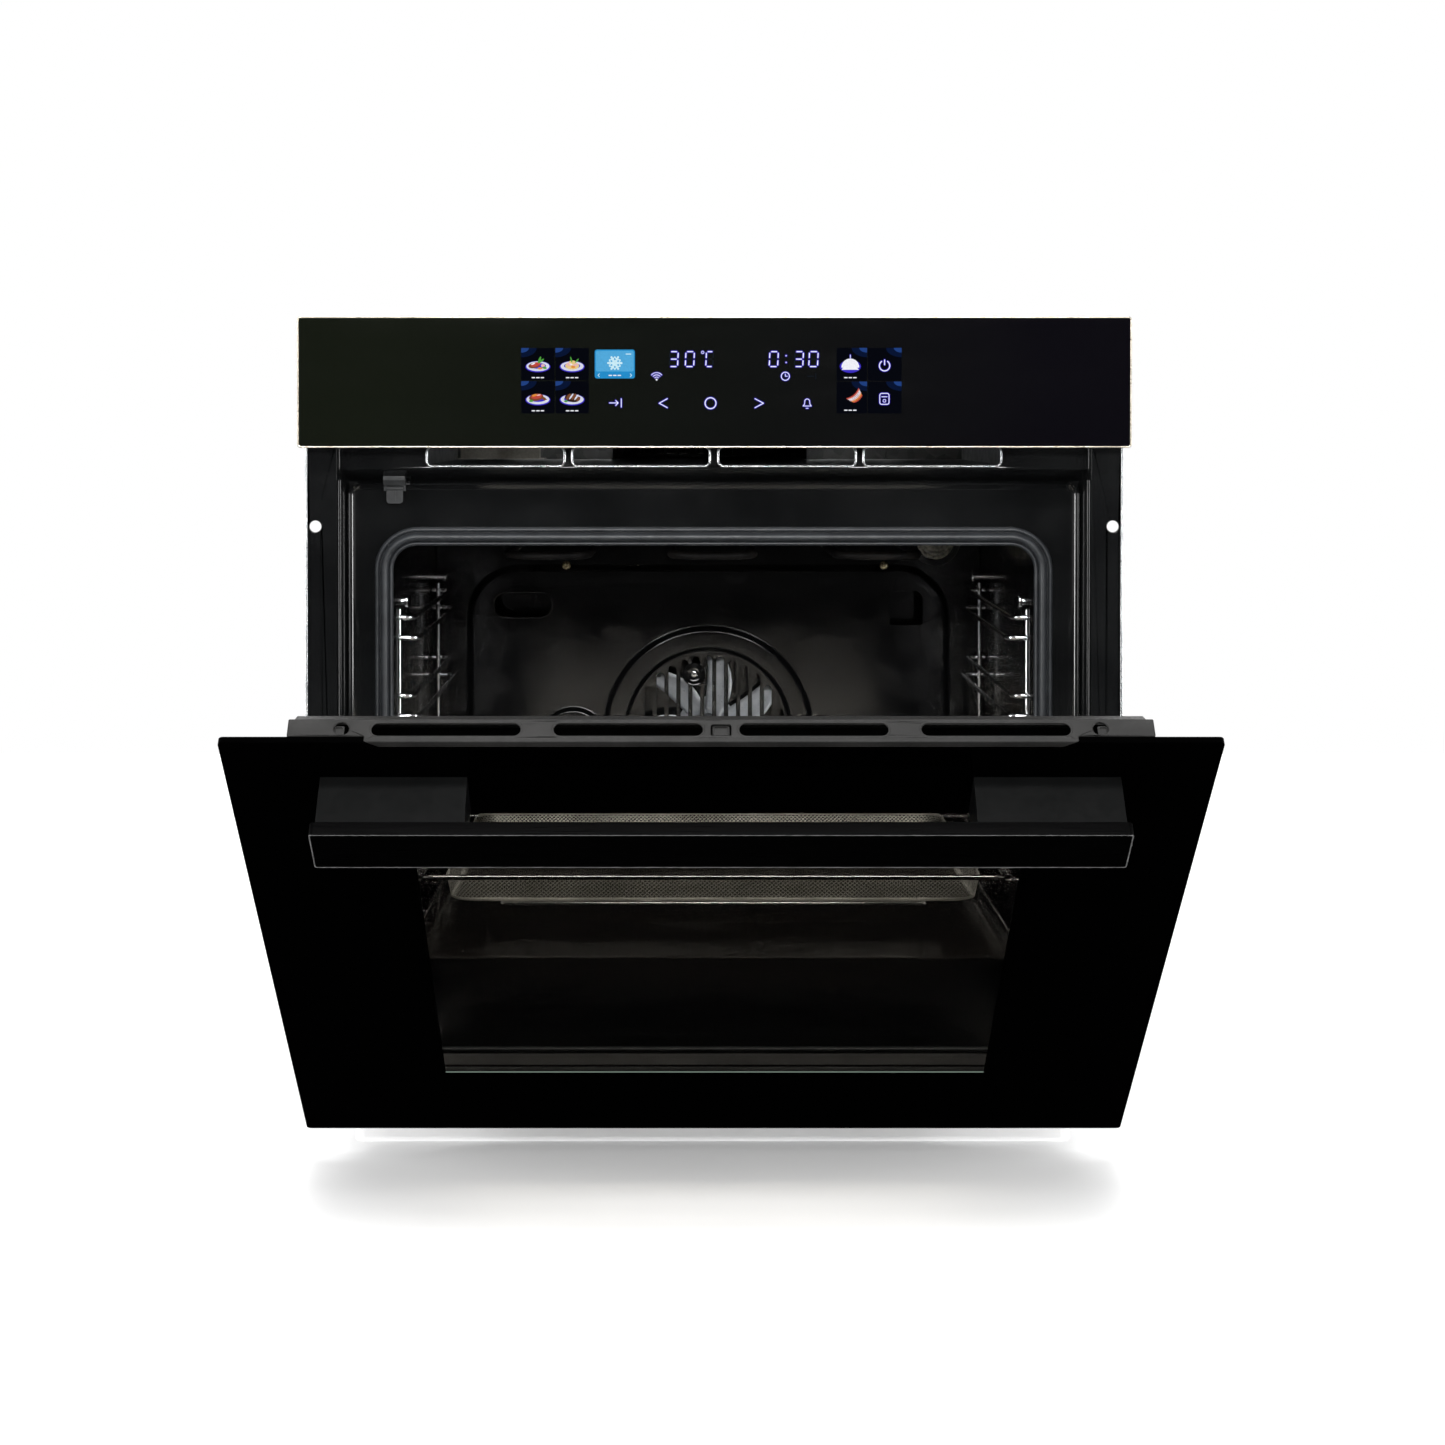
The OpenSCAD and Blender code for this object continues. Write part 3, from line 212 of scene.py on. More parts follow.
class Surface:
    """A Principled material, with helpers for the procedural detail in it."""

    def __init__(self, name, colour, rough, metal=0.0, specular=0.5, coat=0.0):
        self.material = bpy.data.materials.new(name)
        self.material.use_nodes = True
        self.tree = self.material.node_tree
        self.shader = self.tree.nodes["Principled BSDF"]
        self.set("Base Color", (*colour, 1))
        self.set("Roughness", rough)
        self.set("Metallic", metal)
        self.set("Specular IOR Level", specular)
        self.set("Coat Weight", coat)
        self.coords = self.tree.nodes.new("ShaderNodeTexCoord").outputs["Object"]
        self.material.diffuse_color = (*colour, 1)

    def set(self, socket, value):
        self.shader.inputs[socket].default_value = value

    def join(self, a, b):
        self.tree.links.new(a, b)

    def node(self, kind, **inputs):
        made = self.tree.nodes.new(kind)
        for name, value in inputs.items():
            made.inputs[name.replace("_", " ")].default_value = value
        return made

    def stretched(self, stretch):
        mapping = self.node("ShaderNodeMapping", Scale=stretch)
        self.join(self.coords, mapping.inputs["Vector"])
        return mapping.outputs[0]

    def noise(self, size, detail=3, stretch=(1, 1, 1)):
        """Soft noise whose spots are about size millimetres wide."""
        made = self.node("ShaderNodeTexNoise", Scale=1 / (size * MM), Detail=detail)
        self.join(self.stretched(stretch), made.inputs["Vector"])
        return made.outputs["Fac"]

    def cells(self, size, output="Color", feature="F1"):
        """Voronoi cells about size millimetres wide."""
        made = self.node("ShaderNodeTexVoronoi", Scale=1 / (size * MM))
        made.feature = feature
        self.join(self.coords, made.inputs["Vector"])
        return made.outputs[output]

    def math(self, kind, a, b):
        return math_node(self.tree, kind, a, b)

    def dot(self, direction):
        """How far a point lies along a direction, in metres."""
        made = self.tree.nodes.new("ShaderNodeVectorMath")
        made.operation = "DOT_PRODUCT"
        self.join(self.coords, made.inputs[0])
        made.inputs[1].default_value = direction
        return made.outputs["Value"]

    def span(self, value, *ends):
        return span_node(self.tree, value, *ends)

    def ramp(self, value, dark, pale, start, end):
        """Colour that runs from dark to pale with a value."""
        made = self.tree.nodes.new("ShaderNodeValToRGB")
        stops = made.color_ramp.elements
        stops[0].position, stops[1].position = start, end
        stops[0].color, stops[1].color = (*dark, 1), (*pale, 1)
        self.join(value, made.inputs[0])
        return made.outputs[0]

    def tint(self, value, dark, pale, start=0.35, end=0.65):
        """Base colour that runs from dark to pale with a value."""
        self.join(self.ramp(value, dark, pale, start, end), self.shader.inputs["Base Color"])
        return self

    def gloss(self, value, least, most, start=0.3, end=0.7):
        self.join(self.span(value, start, end, least, most), self.shader.inputs["Roughness"])
        return self

    def bump(self, value, height, strength=1.0):
        """Relief of height millimetres."""
        made = self.node("ShaderNodeBump", Strength=strength, Distance=height * MM)
        self.join(value, made.inputs["Height"])
        self.join(made.outputs[0], self.shader.inputs["Normal"])
        return self


def zinc():
    """Galvanised sheet with its spangle."""
    s = Surface("zinc", (0.55, 0.57, 0.58), 0.4, metal=0.85)
    s.tint(s.cells(9), (0.33, 0.345, 0.36), (0.52, 0.535, 0.545), 0.1, 0.9)
    s.gloss(s.noise(14), 0.32, 0.5)
    return s.bump(s.noise(3), 0.03, 0.3)


def enamel():
    """Black vitreous enamel with the faint waves that firing leaves."""
    s = Surface("enamel", (0.004, 0.0042, 0.0045), 0.1, specular=0.6)
    s.tint(s.noise(60), (0.003, 0.0032, 0.0034), (0.0055, 0.0058, 0.006))
    s.gloss(s.noise(25), 0.06, 0.14)
    return s.bump(s.noise(6, 2), 0.03, 0.3)


def enamel_speckle():
    """Cavity enamel: black with tiny pale flecks."""
    s = Surface("enamel_speckle", (0.004, 0.0042, 0.0045), 0.14, specular=0.6)
    s.tint(s.cells(1.7, "Distance"), (0.018, 0.019, 0.022), (0.003, 0.0032, 0.0035), 0.06, 0.12)
    s.gloss(s.noise(22), 0.08, 0.18)
    return s.bump(s.noise(5, 2), 0.03, 0.35)


def black_glass():
    """Back-printed panel glass: black, with a painted reflection tint that runs from greenish on the left to
    violet on the right.
    """
    s = Surface("black_glass", (0.006, 0.006, 0.0055), 0.05, specular=0.25)
    # The left-to-right tint is a painted reflection.
    across = s.span(s.dot((1, 0, 0)), -0.3, 0.3, 0, 1)
    s.tint(across, (0.0034, 0.0042, 0.0026), (0.0018, 0.0016, 0.0025), 0.1, 0.9)
    s.gloss(s.noise(35, 4, (0.4, 1, 1.6)), 0.03, 0.1)
    return s.bump(s.noise(90, 1), 0.01, 0.2)


def glass_print():
    s = Surface("glass_print", (0.0008, 0.0008, 0.0009), 0.7, specular=0.02)
    s.tint(s.noise(3), (0.0006, 0.0006, 0.0007), (0.001, 0.001, 0.0011))
    return s.bump(s.noise(0.6), 0.01, 0.3)


def trim_metal():
    """Champagne anodised aluminium, brushed along its length."""
    s = Surface("trim_metal", (0.62, 0.56, 0.46), 0.3, metal=0.9)
    s.tint(s.noise(1.2, 4, (0.04, 1, 1)), (0.52, 0.47, 0.38), (0.7, 0.64, 0.54))
    s.gloss(s.noise(0.8, 3, (0.05, 1, 1)), 0.22, 0.36)
    return s.bump(s.noise(0.5, 3, (0.05, 1, 1)), 0.01, 0.3)


def dark_trim():
    """Grained black nylon of the door's top trim."""
    s = Surface("dark_trim", (0.011, 0.0105, 0.010), 0.46, specular=0.22)
    s.tint(s.noise(18, 4), (0.009, 0.0088, 0.0084), (0.0135, 0.013, 0.0125))
    s.gloss(s.noise(2.2), 0.42, 0.58)
    return s.bump(s.cells(0.55, "Distance"), 0.05, 0.25)


def rail_steel():
    s = Surface("rail_steel", (0.03, 0.03, 0.031), 0.42, metal=0.2)
    s.tint(s.noise(20), (0.024, 0.024, 0.025), (0.036, 0.036, 0.037))
    s.gloss(s.noise(6), 0.36, 0.5)
    return s.bump(s.noise(0.9), 0.02, 0.3)


def handle_black():
    """Fine satin black anodised bar."""
    s = Surface("handle_black", (0.0003, 0.0003, 0.00035), 0.22, specular=0.06)
    s.tint(s.noise(1.0, 4, (0.03, 1, 1)), (0.0002, 0.0002, 0.00024), (0.0004, 0.0004, 0.00045))
    s.gloss(s.noise(0.9, 4, (0.03, 1, 1)), 0.26, 0.38)
    return s.bump(s.noise(0.5, 3, (0.03, 1, 1)), 0.008, 0.3)


def bracket_grey():
    s = Surface("bracket_grey", (0.0028, 0.003, 0.003), 0.32, specular=0.1)
    s.tint(s.noise(24), (0.0024, 0.0026, 0.0026), (0.0034, 0.0036, 0.0036))
    s.gloss(s.noise(4), 0.32, 0.42)
    return s.bump(s.cells(0.4, "Distance"), 0.02, 0.25)


def rubber():
    """Silicone seal, a little dusty."""
    s = Surface("rubber", (0.018, 0.020, 0.0225), 0.36, specular=0.5)
    s.tint(s.noise(11, 4), (0.015, 0.0165, 0.019), (0.023, 0.0255, 0.0285))
    s.gloss(s.noise(5), 0.34, 0.5)
    return s.bump(s.noise(1.2), 0.04, 0.3)


def chrome_wire():
    s = Surface("chrome_wire", (0.74, 0.75, 0.77), 0.12, metal=1)
    s.tint(s.noise(16, 4), (0.62, 0.62, 0.63), (0.82, 0.83, 0.85))
    s.gloss(s.noise(5), 0.08, 0.2)
    return s.bump(s.noise(2.5, 2), 0.02, 0.3)


def mesh_wire():
    s = Surface("mesh_wire", (0.8, 0.8, 0.76), 0.42, metal=0.5)
    s.tint(s.noise(30, 4), (0.6, 0.6, 0.56), (0.9, 0.9, 0.85))
    return s.gloss(s.noise(8), 0.36, 0.5)


def mesh_floor_painted_shade():
    """The basket's floor: the same wire mesh as its walls, darkened to paint the shade it lies in."""
    s = Surface("mesh_floor_painted_shade", (0.22, 0.21, 0.19), 0.45, metal=0.5)
    s.tint(s.noise(30, 4), (0.15, 0.14, 0.125), (0.28, 0.27, 0.25))
    return s.gloss(s.noise(8), 0.4, 0.55)


def heater():
    """Heater tube with a blued, scaled skin."""
    s = Surface("heater", (0.008, 0.0076, 0.0076), 0.6, specular=0.15)
    s.tint(s.noise(14, 5), (0.004, 0.0038, 0.004), (0.012, 0.0105, 0.0095))
    s.gloss(s.noise(4), 0.4, 0.65)
    return s.bump(s.noise(0.8, 4), 0.05, 0.3)


def wool():
    s = Surface("wool", (0.62, 0.58, 0.44), 0.95, specular=0.1)
    s.tint(s.noise(3, 6, (1, 0.2, 1)), (0.48, 0.44, 0.32), (0.74, 0.7, 0.56))
    s.set("Sheen Weight", 0.3)
    return s.bump(s.noise(1.5, 6, (1, 0.2, 1)), 1.2, 0.8)


def lamp_glass():
    """Pressed lamp glass, warm and a little clouded."""
    s = Surface("lamp_glass", (0.20, 0.19, 0.155), 0.16, specular=0.7, coat=0.3)
    s.tint(s.noise(3.2, 4), (0.06, 0.058, 0.045), (0.34, 0.32, 0.26), 0.3, 0.7)
    s.gloss(s.noise(2), 0.1, 0.3)
    return s.bump(s.cells(2.2, "Distance"), 0.5, 0.6)


def ceramic():
    s = Surface("ceramic", (0.74, 0.71, 0.64), 0.55)
    s.tint(s.noise(2.5, 4), (0.66, 0.63, 0.56), (0.8, 0.77, 0.7))
    return s.bump(s.noise(0.6), 0.03, 0.4)


def fan_alu():
    """Stamped aluminium of the fan, dulled by heat."""
    s = Surface("fan_alu", (0.76, 0.79, 0.82), 0.34, metal=0.2)
    s.tint(s.noise(9, 4), (0.66, 0.69, 0.72), (0.84, 0.87, 0.9))
    s.gloss(s.noise(2, 4, (1, 0.2, 1)), 0.26, 0.42)
    return s.bump(s.noise(1.2), 0.02, 0.3)


def motor():
    s = Surface("motor", (0.38, 0.39, 0.41), 0.42, metal=0.8)
    s.tint(s.noise(1.0, 3, (0.05, 1, 1)), (0.3, 0.31, 0.33), (0.46, 0.47, 0.49))
    return s.gloss(s.noise(3), 0.35, 0.55)


def black_plastic():
    s = Surface("black_plastic", (0.02, 0.02, 0.021), 0.45)
    s.tint(s.noise(12), (0.016, 0.016, 0.017), (0.026, 0.026, 0.027))
    return s.bump(s.cells(0.5, "Distance"), 0.03, 0.25)


def grey_plastic():
    s = Surface("grey_plastic", (0.03, 0.031, 0.032), 0.4, specular=0.25)
    s.tint(s.noise(6), (0.025, 0.026, 0.027), (0.035, 0.036, 0.037))
    return s.bump(s.cells(0.4, "Distance"), 0.02, 0.3)


def circuit():
    """Green solder mask over faint tracks."""
    s = Surface("circuit", (0.02, 0.12, 0.06), 0.35, coat=0.4)
    s.tint(s.cells(4, "Distance", "DISTANCE_TO_EDGE"), (0.03, 0.2, 0.1), (0.012, 0.09, 0.045), 0.04, 0.1)
    return s.bump(s.noise(2), 0.03, 0.3)


def brass():
    s = Surface("brass", (0.52, 0.44, 0.28), 0.3, metal=1)
    s.tint(s.noise(2), (0.42, 0.35, 0.22), (0.6, 0.52, 0.34))
    return s.gloss(s.noise(1.4), 0.22, 0.4)


def lip_painted_highlight():
    """Pale polished metal on the rolled edges of the air slots and of the flange: a painted highlight for the
    light these enamel edges catch.
    """
    s = Surface("lip_painted_highlight", (0.62, 0.64, 0.65), 0.22, metal=0.9)
    s.tint(s.noise(20, 3), (0.4, 0.42, 0.43), (0.74, 0.76, 0.77))
    return s.gloss(s.noise(6), 0.16, 0.3)


# Lighter grey that paints the highlight along the handle bar's edges.
def bar_edge_painted_highlight():
    s = Surface("bar_edge_painted_highlight", (0.10, 0.10, 0.10), 0.35, metal=0.3)
    s.tint(s.noise(6), (0.07, 0.07, 0.07), (0.14, 0.14, 0.14))
    return s.gloss(s.noise(3), 0.3, 0.42)


def tray_enamel():
    s = Surface("tray_enamel", (0.007, 0.005, 0.0042), 0.1, specular=0.9)
    s.tint(s.cells(1.3, "Distance"), (0.016, 0.0135, 0.012), (0.007, 0.005, 0.0042), 0.08, 0.16)
    s.gloss(s.noise(30), 0.12, 0.24)
    return s.bump(s.noise(8, 2), 0.05, 0.4)


def outside_window(s, half, foot, top):
    """1 outside a window on the door's face, given in the closed door's places, and 0 inside."""
    up = Vector((0, -math.sin(DOOR_OPEN), math.cos(DOOR_OPEN)))
    middle = Vector(door_point(0, HINGE_IN, (foot + top) / 2)).dot(up) * MM
    across = s.math("ABSOLUTE", s.dot((1, 0, 0)), 0)
    along = s.math("ABSOLUTE", s.math("SUBTRACT", s.dot(up), middle), 0)
    outside = s.math("MAXIMUM", s.math("SUBTRACT", across, half * MM),
                     s.math("SUBTRACT", along, (top - foot) / 2 * MM))
    return s.span(outside, 0, 0.0005, 0, 1)


def pane(name, tint, ior, window=None):
    """A clear sheet that bends what is behind it and tints it, under a faint mirror. Shadows and
    matt light pass straight through. With a window (half width, foot, top) it is backed with
    black all round that."""
    s = Surface(name, tint, 0.05)
    s.tree.nodes.remove(s.shader)
    straight = s.node("ShaderNodeBsdfTransparent", Color=(*tint, 1))
    bent = s.node("ShaderNodeBsdfRefraction", Color=(*tint, 1), Roughness=0, IOR=1.5)
    ray = s.tree.nodes.new("ShaderNodeLightPath")
    through = s.math("MAXIMUM", ray.outputs["Is Shadow Ray"], ray.outputs["Is Diffuse Ray"])
    behind = mixed(s.tree, through, bent.outputs[0], straight.outputs[0])
    if window:
        black = s.node("ShaderNodeBsdfDiffuse", Color=(0.0001, 0.0001, 0.00012, 1))
        behind = mixed(s.tree, outside_window(s, *window), behind, black.outputs[0])
    mirror = s.node("ShaderNodeBsdfGlossy", Roughness=0.03)
    s.join(s.span(s.noise(40, 4), 0.3, 0.7, 0.015, 0.06), mirror.inputs["Roughness"])
    fresnel = s.node("ShaderNodeFresnel", IOR=ior)
    shown = mixed(s.tree, fresnel.outputs[0], behind, mirror.outputs[0])
    s.join(shown, s.tree.nodes["Material Output"].inputs[0])
    return s


def glow(name, colour, strength):
    """A glowing surface: a lit part of the display, with the fine unevenness of its backlight, or the window's
    edge line, whose glow is painted light.
    """
    s = Surface("glow_" + name, colour, 0.4)
    lit = s.ramp(s.noise(0.8, 2), [0.86 * c for c in colour], colour, 0.3, 0.7)
    s.join(lit, s.shader.inputs["Emission Color"])
    s.set("Emission Strength", strength)
    s.set("Base Color", (0, 0, 0, 1))
    s.set("Specular IOR Level", 0)
    return s.material


def floor_paint():
    s = Surface("floor_paint", (0.86, 0.86, 0.86), 0.8, specular=0.1)
    s.tint(s.noise(600), (0.85, 0.85, 0.85), (0.88, 0.88, 0.88))
    return s.material


MAKERS = (
    zinc, enamel, enamel_speckle, black_glass, glass_print, trim_metal, dark_trim, rail_steel,
    handle_black, bracket_grey, rubber, chrome_wire, heater, wool, lamp_glass, ceramic, fan_alu,
    motor, black_plastic, grey_plastic, circuit, brass,
)
WINDOW = (192, 79, 411)
PANES = {"outer_glass": ((0.68, 0.665, 0.64), 1.10, WINDOW), "door_glass": ((0.92, 0.915, 0.905), 1.06)}
FINISHES = {}

# The CAD nodes whose edges show, by the width of their rounding
SOFT_EDGES = {
    0.3: ("control_trim", "switch_flap"),
    0.4: ("control_glass", "door_switch", "base_plate", "side_panel_left", "side_panel_right",
          "top_cover", "rear_panel", "hinge_arms", "rack_studs"),
    0.45: ("fan_panel",),
    0.5: ("door_outer_glass", "lamp_ring"),
    0.6: ("front_frame", "door_side_rails", "door_bottom_rail", "cable_gland", "lamp_holder",
          "terminal_block"),
    0.8: ("fan_motor", "cooling_motor"),
    0.9: ("door_top_trim", "handle_bar"),
    1.2: ("handle_brackets",),
}
# Simple blocks, whose rounding is kept within their faces
SOLID = {
    "control_glass", "handle_bar", "handle_brackets", "door_outer_glass", "switch_flap",
    "window_edge_painted_glow",
}


def dress_nodes():
    """Gives each CAD node its finish and softens the edges that catch the light."""
    FINISHES.update({make.__name__: make().material for make in MAKERS})
    FINISHES["mesh"] = mesh_wire().material
    FINISHES.update({slot: pane(slot, *values).material for slot, values in PANES.items()})
    for part in frame["record"]["subparts"]:
        for slot in frame["nodes"][part["node"]].material_slots:
            slot.material = FINISHES[part["material_slot"]]
    for width, nodes in SOFT_EDGES.items():
        for node in nodes:
            soften(frame["nodes"][node], width)


def soften(obj, width, segments=2):
    """Rounds the sharp edges of a piece."""
    weld = obj.modifiers.new("weld", "WELD")
    weld.merge_threshold = 0.00001
    bevel = obj.modifiers.new("bevel", "BEVEL")
    bevel.width = width * MM
    bevel.segments = segments
    bevel.angle_limit = math.radians(40)
    bevel.miter_outer = "MITER_ARC"
    bevel.use_clamp_overlap = obj.name in SOLID
    normals = obj.modifiers.new("normals", "WEIGHTED_NORMAL")
    normals.weight = 80


def thicken(obj, thickness, offset=-1):
    """Gives a skin its thickness in millimetres."""
    thick = obj.modifiers.new("thickness", "SOLIDIFY")
    thick.thickness = thickness * MM
    thick.offset = offset


# ---- Building pieces ----

def add_piece(name, shape, body, slot, replaces=(), material=None, sharp=40):
    """A piece from (points in mm, faces) that rides on a body. It has its slot's finish, unless
    another material, or a list of them, is given."""
    points, faces = shape
    mesh = bpy.data.meshes.new(name)
    mesh.from_pydata([[c * MM for c in p] for p in points], [], faces)
    mesh.update()
    mesh.shade_smooth()
    mesh.set_sharp_from_angle(angle=math.radians(sharp))
    material = material or FINISHES[slot]
    for each in material if isinstance(material, list) else [material]:
        mesh.materials.append(each)
    obj = place(name, mesh, (0, 0, 0))
    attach(obj, body)
    if replaces:
        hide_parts(*replaces)
    return obj


def loft(rings, closed=True, first_cap=False, last_cap=False):
    """A skin over rings that all have the same number of points."""
    n = len(rings[0])
    points = [p for ring in rings for p in ring]
    faces = []
    for k in range(len(rings) - 1):
        for i in range(n if closed else n - 1):
            j = (i + 1) % n
            faces.append((k * n + i, k * n + j, k * n + n + j, k * n + n + i))
    if first_cap:
        faces.append(tuple(reversed(range(n))))
    if last_cap:
        faces.append(tuple(range(len(points) - n, len(points))))
    return points, faces


def merged(shapes):
    points, faces = [], []
    for more_points, more_faces in shapes:
        start = len(points)
        points.extend(more_points)
        faces.extend(tuple(i + start for i in face) for face in more_faces)
    return points, faces


def angles(degrees, steps):
    """Equal steps of a turn in radians, with both its ends."""
    return [math.radians(degrees * k / steps) for k in range(steps + 1)]


def rounded(x0, x1, z0, z1, r, steps=8):
    """Outline of a rounded rectangle, counter-clockwise from the right."""
    corners = [
        (x1 - r, z1 - r, 0), (x0 + r, z1 - r, 90), (x0 + r, z0 + r, 180), (x1 - r, z0 + r, 270),
    ]
    return [
        (cx + r * math.cos(math.radians(start) + a), cz + r * math.sin(math.radians(start) + a))
        for cx, cz, start in corners for a in angles(90, steps)
    ]


def around(lowest, highest, inset, z, r, steps):
    """Level rounded outline, drawn inset from the sides of a node's box."""
    outline = rounded(lowest.x + inset, highest.x - inset, lowest.y + inset, highest.y - inset, r, steps)
    return [(x, y, z) for x, y in outline]


def circle(cx, cz, r, steps=64):
    turns = [2 * math.pi * k / steps for k in range(steps)]
    return [(cx + r * math.cos(a), cz + r * math.sin(a)) for a in turns]


def pressed(outline, profile, y):
    """A skin that follows an upright outline: outline(u) is the outline drawn u further in, and
    each (u, h) of the profile is a line that stands h in front of the depth y."""
    return loft([[(x, y - h, z) for x, z in outline(u)] for u, h in profile])


def ease(share):
    """A smooth step from 0 to 1."""
    return share * share * (3 - 2 * share)


def ramp_profile(start, end, foot, top, steps=10):
    """A smooth climb from foot to top while u goes from start to end."""
    return [
        (start + (end - start) * k / steps, foot + (top - foot) * ease(k / steps))
        for k in range(steps + 1)
    ]


def bead_profile(half, height, steps=10):
    """Half-round bead across u = -half..half."""
    turns = [math.pi * k / steps for k in range(steps + 1)]
    return [(-half * math.cos(a), height * math.sin(a)) for a in turns]


# ---- Front ----

def gasket():
    """Ribbed silicone seal: an outer lip, the main hollow bead and an inner lip."""
    left, right = low("door_gasket"), high("door_gasket")
    height = right.y - left.y
    corner = 31
    ribs = [(1.9, 2.0, 0.62), (7.3, 3.3, 1.0), (12.0, 1.5, 0.55)]

    def rise(u):
        tops = [h * math.sqrt(max(0, 1 - ((u - c) / r) ** 2)) for c, r, h in ribs]
        return height * max(0.24, *tops)

    count = 54
    width = 13.5
    steps = [width * k / count for k in range(count + 1)]
    profile = [(0, 0)] + [(u, rise(u)) for u in steps] + [(width, 0)]
    shape = pressed(
        lambda u: rounded(left.x + u, right.x - u, left.z + u, right.z - u, corner - u, 14),
        profile, right.y,
    )
    add_piece("gasket_ribbed", shape, "casing", "rubber", ["door_gasket"], sharp=60)


def air_slots():
    """Left edge and right edge of each slot in the strip under the control panel."""
    width, bridge, first = 99.5, 5.5, 3
    for k in range(2):
        start = first + k * (width + bridge)
        yield start, start + width
        yield -start - width, -start


def slot_lips():
    foot = low("control_trim").z - 13.6
    y = RECESS_Y - 19
    lips = []
    for x0, x1 in air_slots():
        lips.append(pressed(
            lambda u, x0=x0, x1=x1: rounded(x0 + u, x1 - u, foot + u, foot + 14.2 - u, 4 - u, 6),
            bead_profile(0.9, 1.0), y,
        ))
    # The lips' pale metal finish is a painted highlight on the slots' enamel edges.
    add_piece("air_slot_lips", merged(lips), "casing", "chrome_wire", material=lip_painted_highlight().material)


def upright_bead(x, half, y, height, foot, top):
    """Half-round bead that runs straight up."""
    return loft([[(x + half * math.cos(a), y - height * math.sin(a), z) for a in angles(180, 8)]
                 for z in (foot, top)], closed=False)


def recess_edges():
    """Soft folds of the enamelled frame: the sides of the recess's rim, the hollow round its floor,
    the rolled cavity mouth and the rounded outer edges of the flange, whose pale finish is a painted highlight."""
    flange_y, floor_y = RECESS_Y - 24, RECESS_Y
    rim_x, cove_x, mouth_x = 269.9, 266.3, 236
    mouth_foot, mouth_top = 67, 431
    top = low("control_trim").z - 19.5
    foot = 60
    reach = 7
    rim = merged([upright_bead(x, 1.1, flange_y, 0.9, foot, top - 4) for x in (-rim_x, rim_x)])
    hollow = [(reach * (1 - math.sin(a)), reach * (1 - math.cos(a))) for a in angles(90, 8)]
    cove = pressed(lambda u: rounded(-cove_x + u, cove_x - u, foot, top - 5.4 - u, 10 - u, 8),
                   hollow[::-1], floor_y)
    mouth = pressed(
        lambda u: rounded(-mouth_x + u, mouth_x - u, mouth_foot + u, mouth_top - u, 10 - u, 8),
        bead_profile(1.0, 0.8), floor_y,
    )
    add_piece("frame_folds", merged([rim, cove, mouth]), "casing", "enamel")
    edge = high("front_frame").x - 0.9
    foot, top = low("front_frame").z + 2, high("front_frame").z - 2
    sides = [upright_bead(x, 0.85, flange_y, 0.7, foot, top) for x in (-edge, edge)]
    # The pale metal of the flange edges is a painted highlight on the enamel.
    add_piece("flange_edges", merged(sides), "casing", "chrome_wire", material=lip_painted_highlight().material)


def panel_pressings():
    """Soft pressed edges of the fan panel: its raised field, the ring, the cap and the left vent."""
    plate = 100
    field = plate - 3
    roof = high("fan_panel").z + 1
    foot = low("fan_panel").z - 1
    half = 207
    shapes = [
        pressed(
            lambda u: rounded(-half + u, half - u, foot + 40 + u, roof - 46 - u, 40 - u, 12),
            ramp_profile(-6, 0.4, 0.0, 3.05), plate,
        ),
        pressed(lambda u: circle(0, FAN_Z, 88 - u, 96), ramp_profile(-5, 0.4, 0.0, 3.05), field),
        pressed(lambda u: circle(0, FAN_Z, 74 + u, 96), ramp_profile(-4, 0.4, 0.0, 3.05), field),
        pressed(lambda u: circle(-119, FAN_Z - 9.5, 27 - u, 64),
                ramp_profile(-4, 0.5, 0.0, 3.05), field),
    ]
    x, z = -163.4, roof - 75.6
    shapes.append(pressed(
        lambda u: rounded(x - 26 + u, x + 26 - u, z - 11.3 + u, z + 11.3 - u, 11.2 - u, 8),
        bead_profile(1.1, 0.9), field,
    ))
    add_piece("fan_panel_pressings", merged(shapes), "casing", "enamel_speckle")


def guard_screw():
    """Round boss on the fan guard with its screw."""
    x, z = -12.4, FAN_Z + 50
    y = 97
    rings = [(10.5, 0), (10.3, 1.6), (9.4, 2.4), (8.2, 2.2), (7.2, 1.2), (5.0, 1.0)]
    boss = loft([[(a, y - h, b) for a, b in circle(x, z, r, 40)] for r, h in rings], last_cap=True)
    add_piece("fan_guard_boss", boss, "casing", "enamel_speckle")
    head = screw_head((x, y - 1.0, z), (0, -1, 0), 3.4, 1.6)
    add_piece("fan_guard_screw", head, "casing", "chrome_wire")


# Share of the radius and of the height at each ring of a screw head
HEAD_RINGS = (
    (1, 0), (1, 0.35), (0.93, 0.7), (0.78, 0.92), (0.58, 1.0), (0.4, 1.0), (0.3, 0.45), (0.05, 0.3),
)


def screw_head(at, out, r, height):
    """Domed head with a cross recess, standing on a point with its axis along out."""
    out = Vector(out)
    side = out.orthogonal().normalized()
    other = out.cross(side)
    steps = 32
    rings = []
    for share, rise in HEAD_RINGS:
        ring = []
        for k in range(steps):
            a = 2 * math.pi * k / steps
            star = 1 - 0.32 * abs(math.sin(2 * a)) if share < 0.5 else 1
            spread = r * share * star
            across = side * spread * math.cos(a) + other * spread * math.sin(a)
            ring.append(tuple(Vector(at) + across + out * height * rise))
        rings.append(ring)
    return loft(rings, last_cap=True)


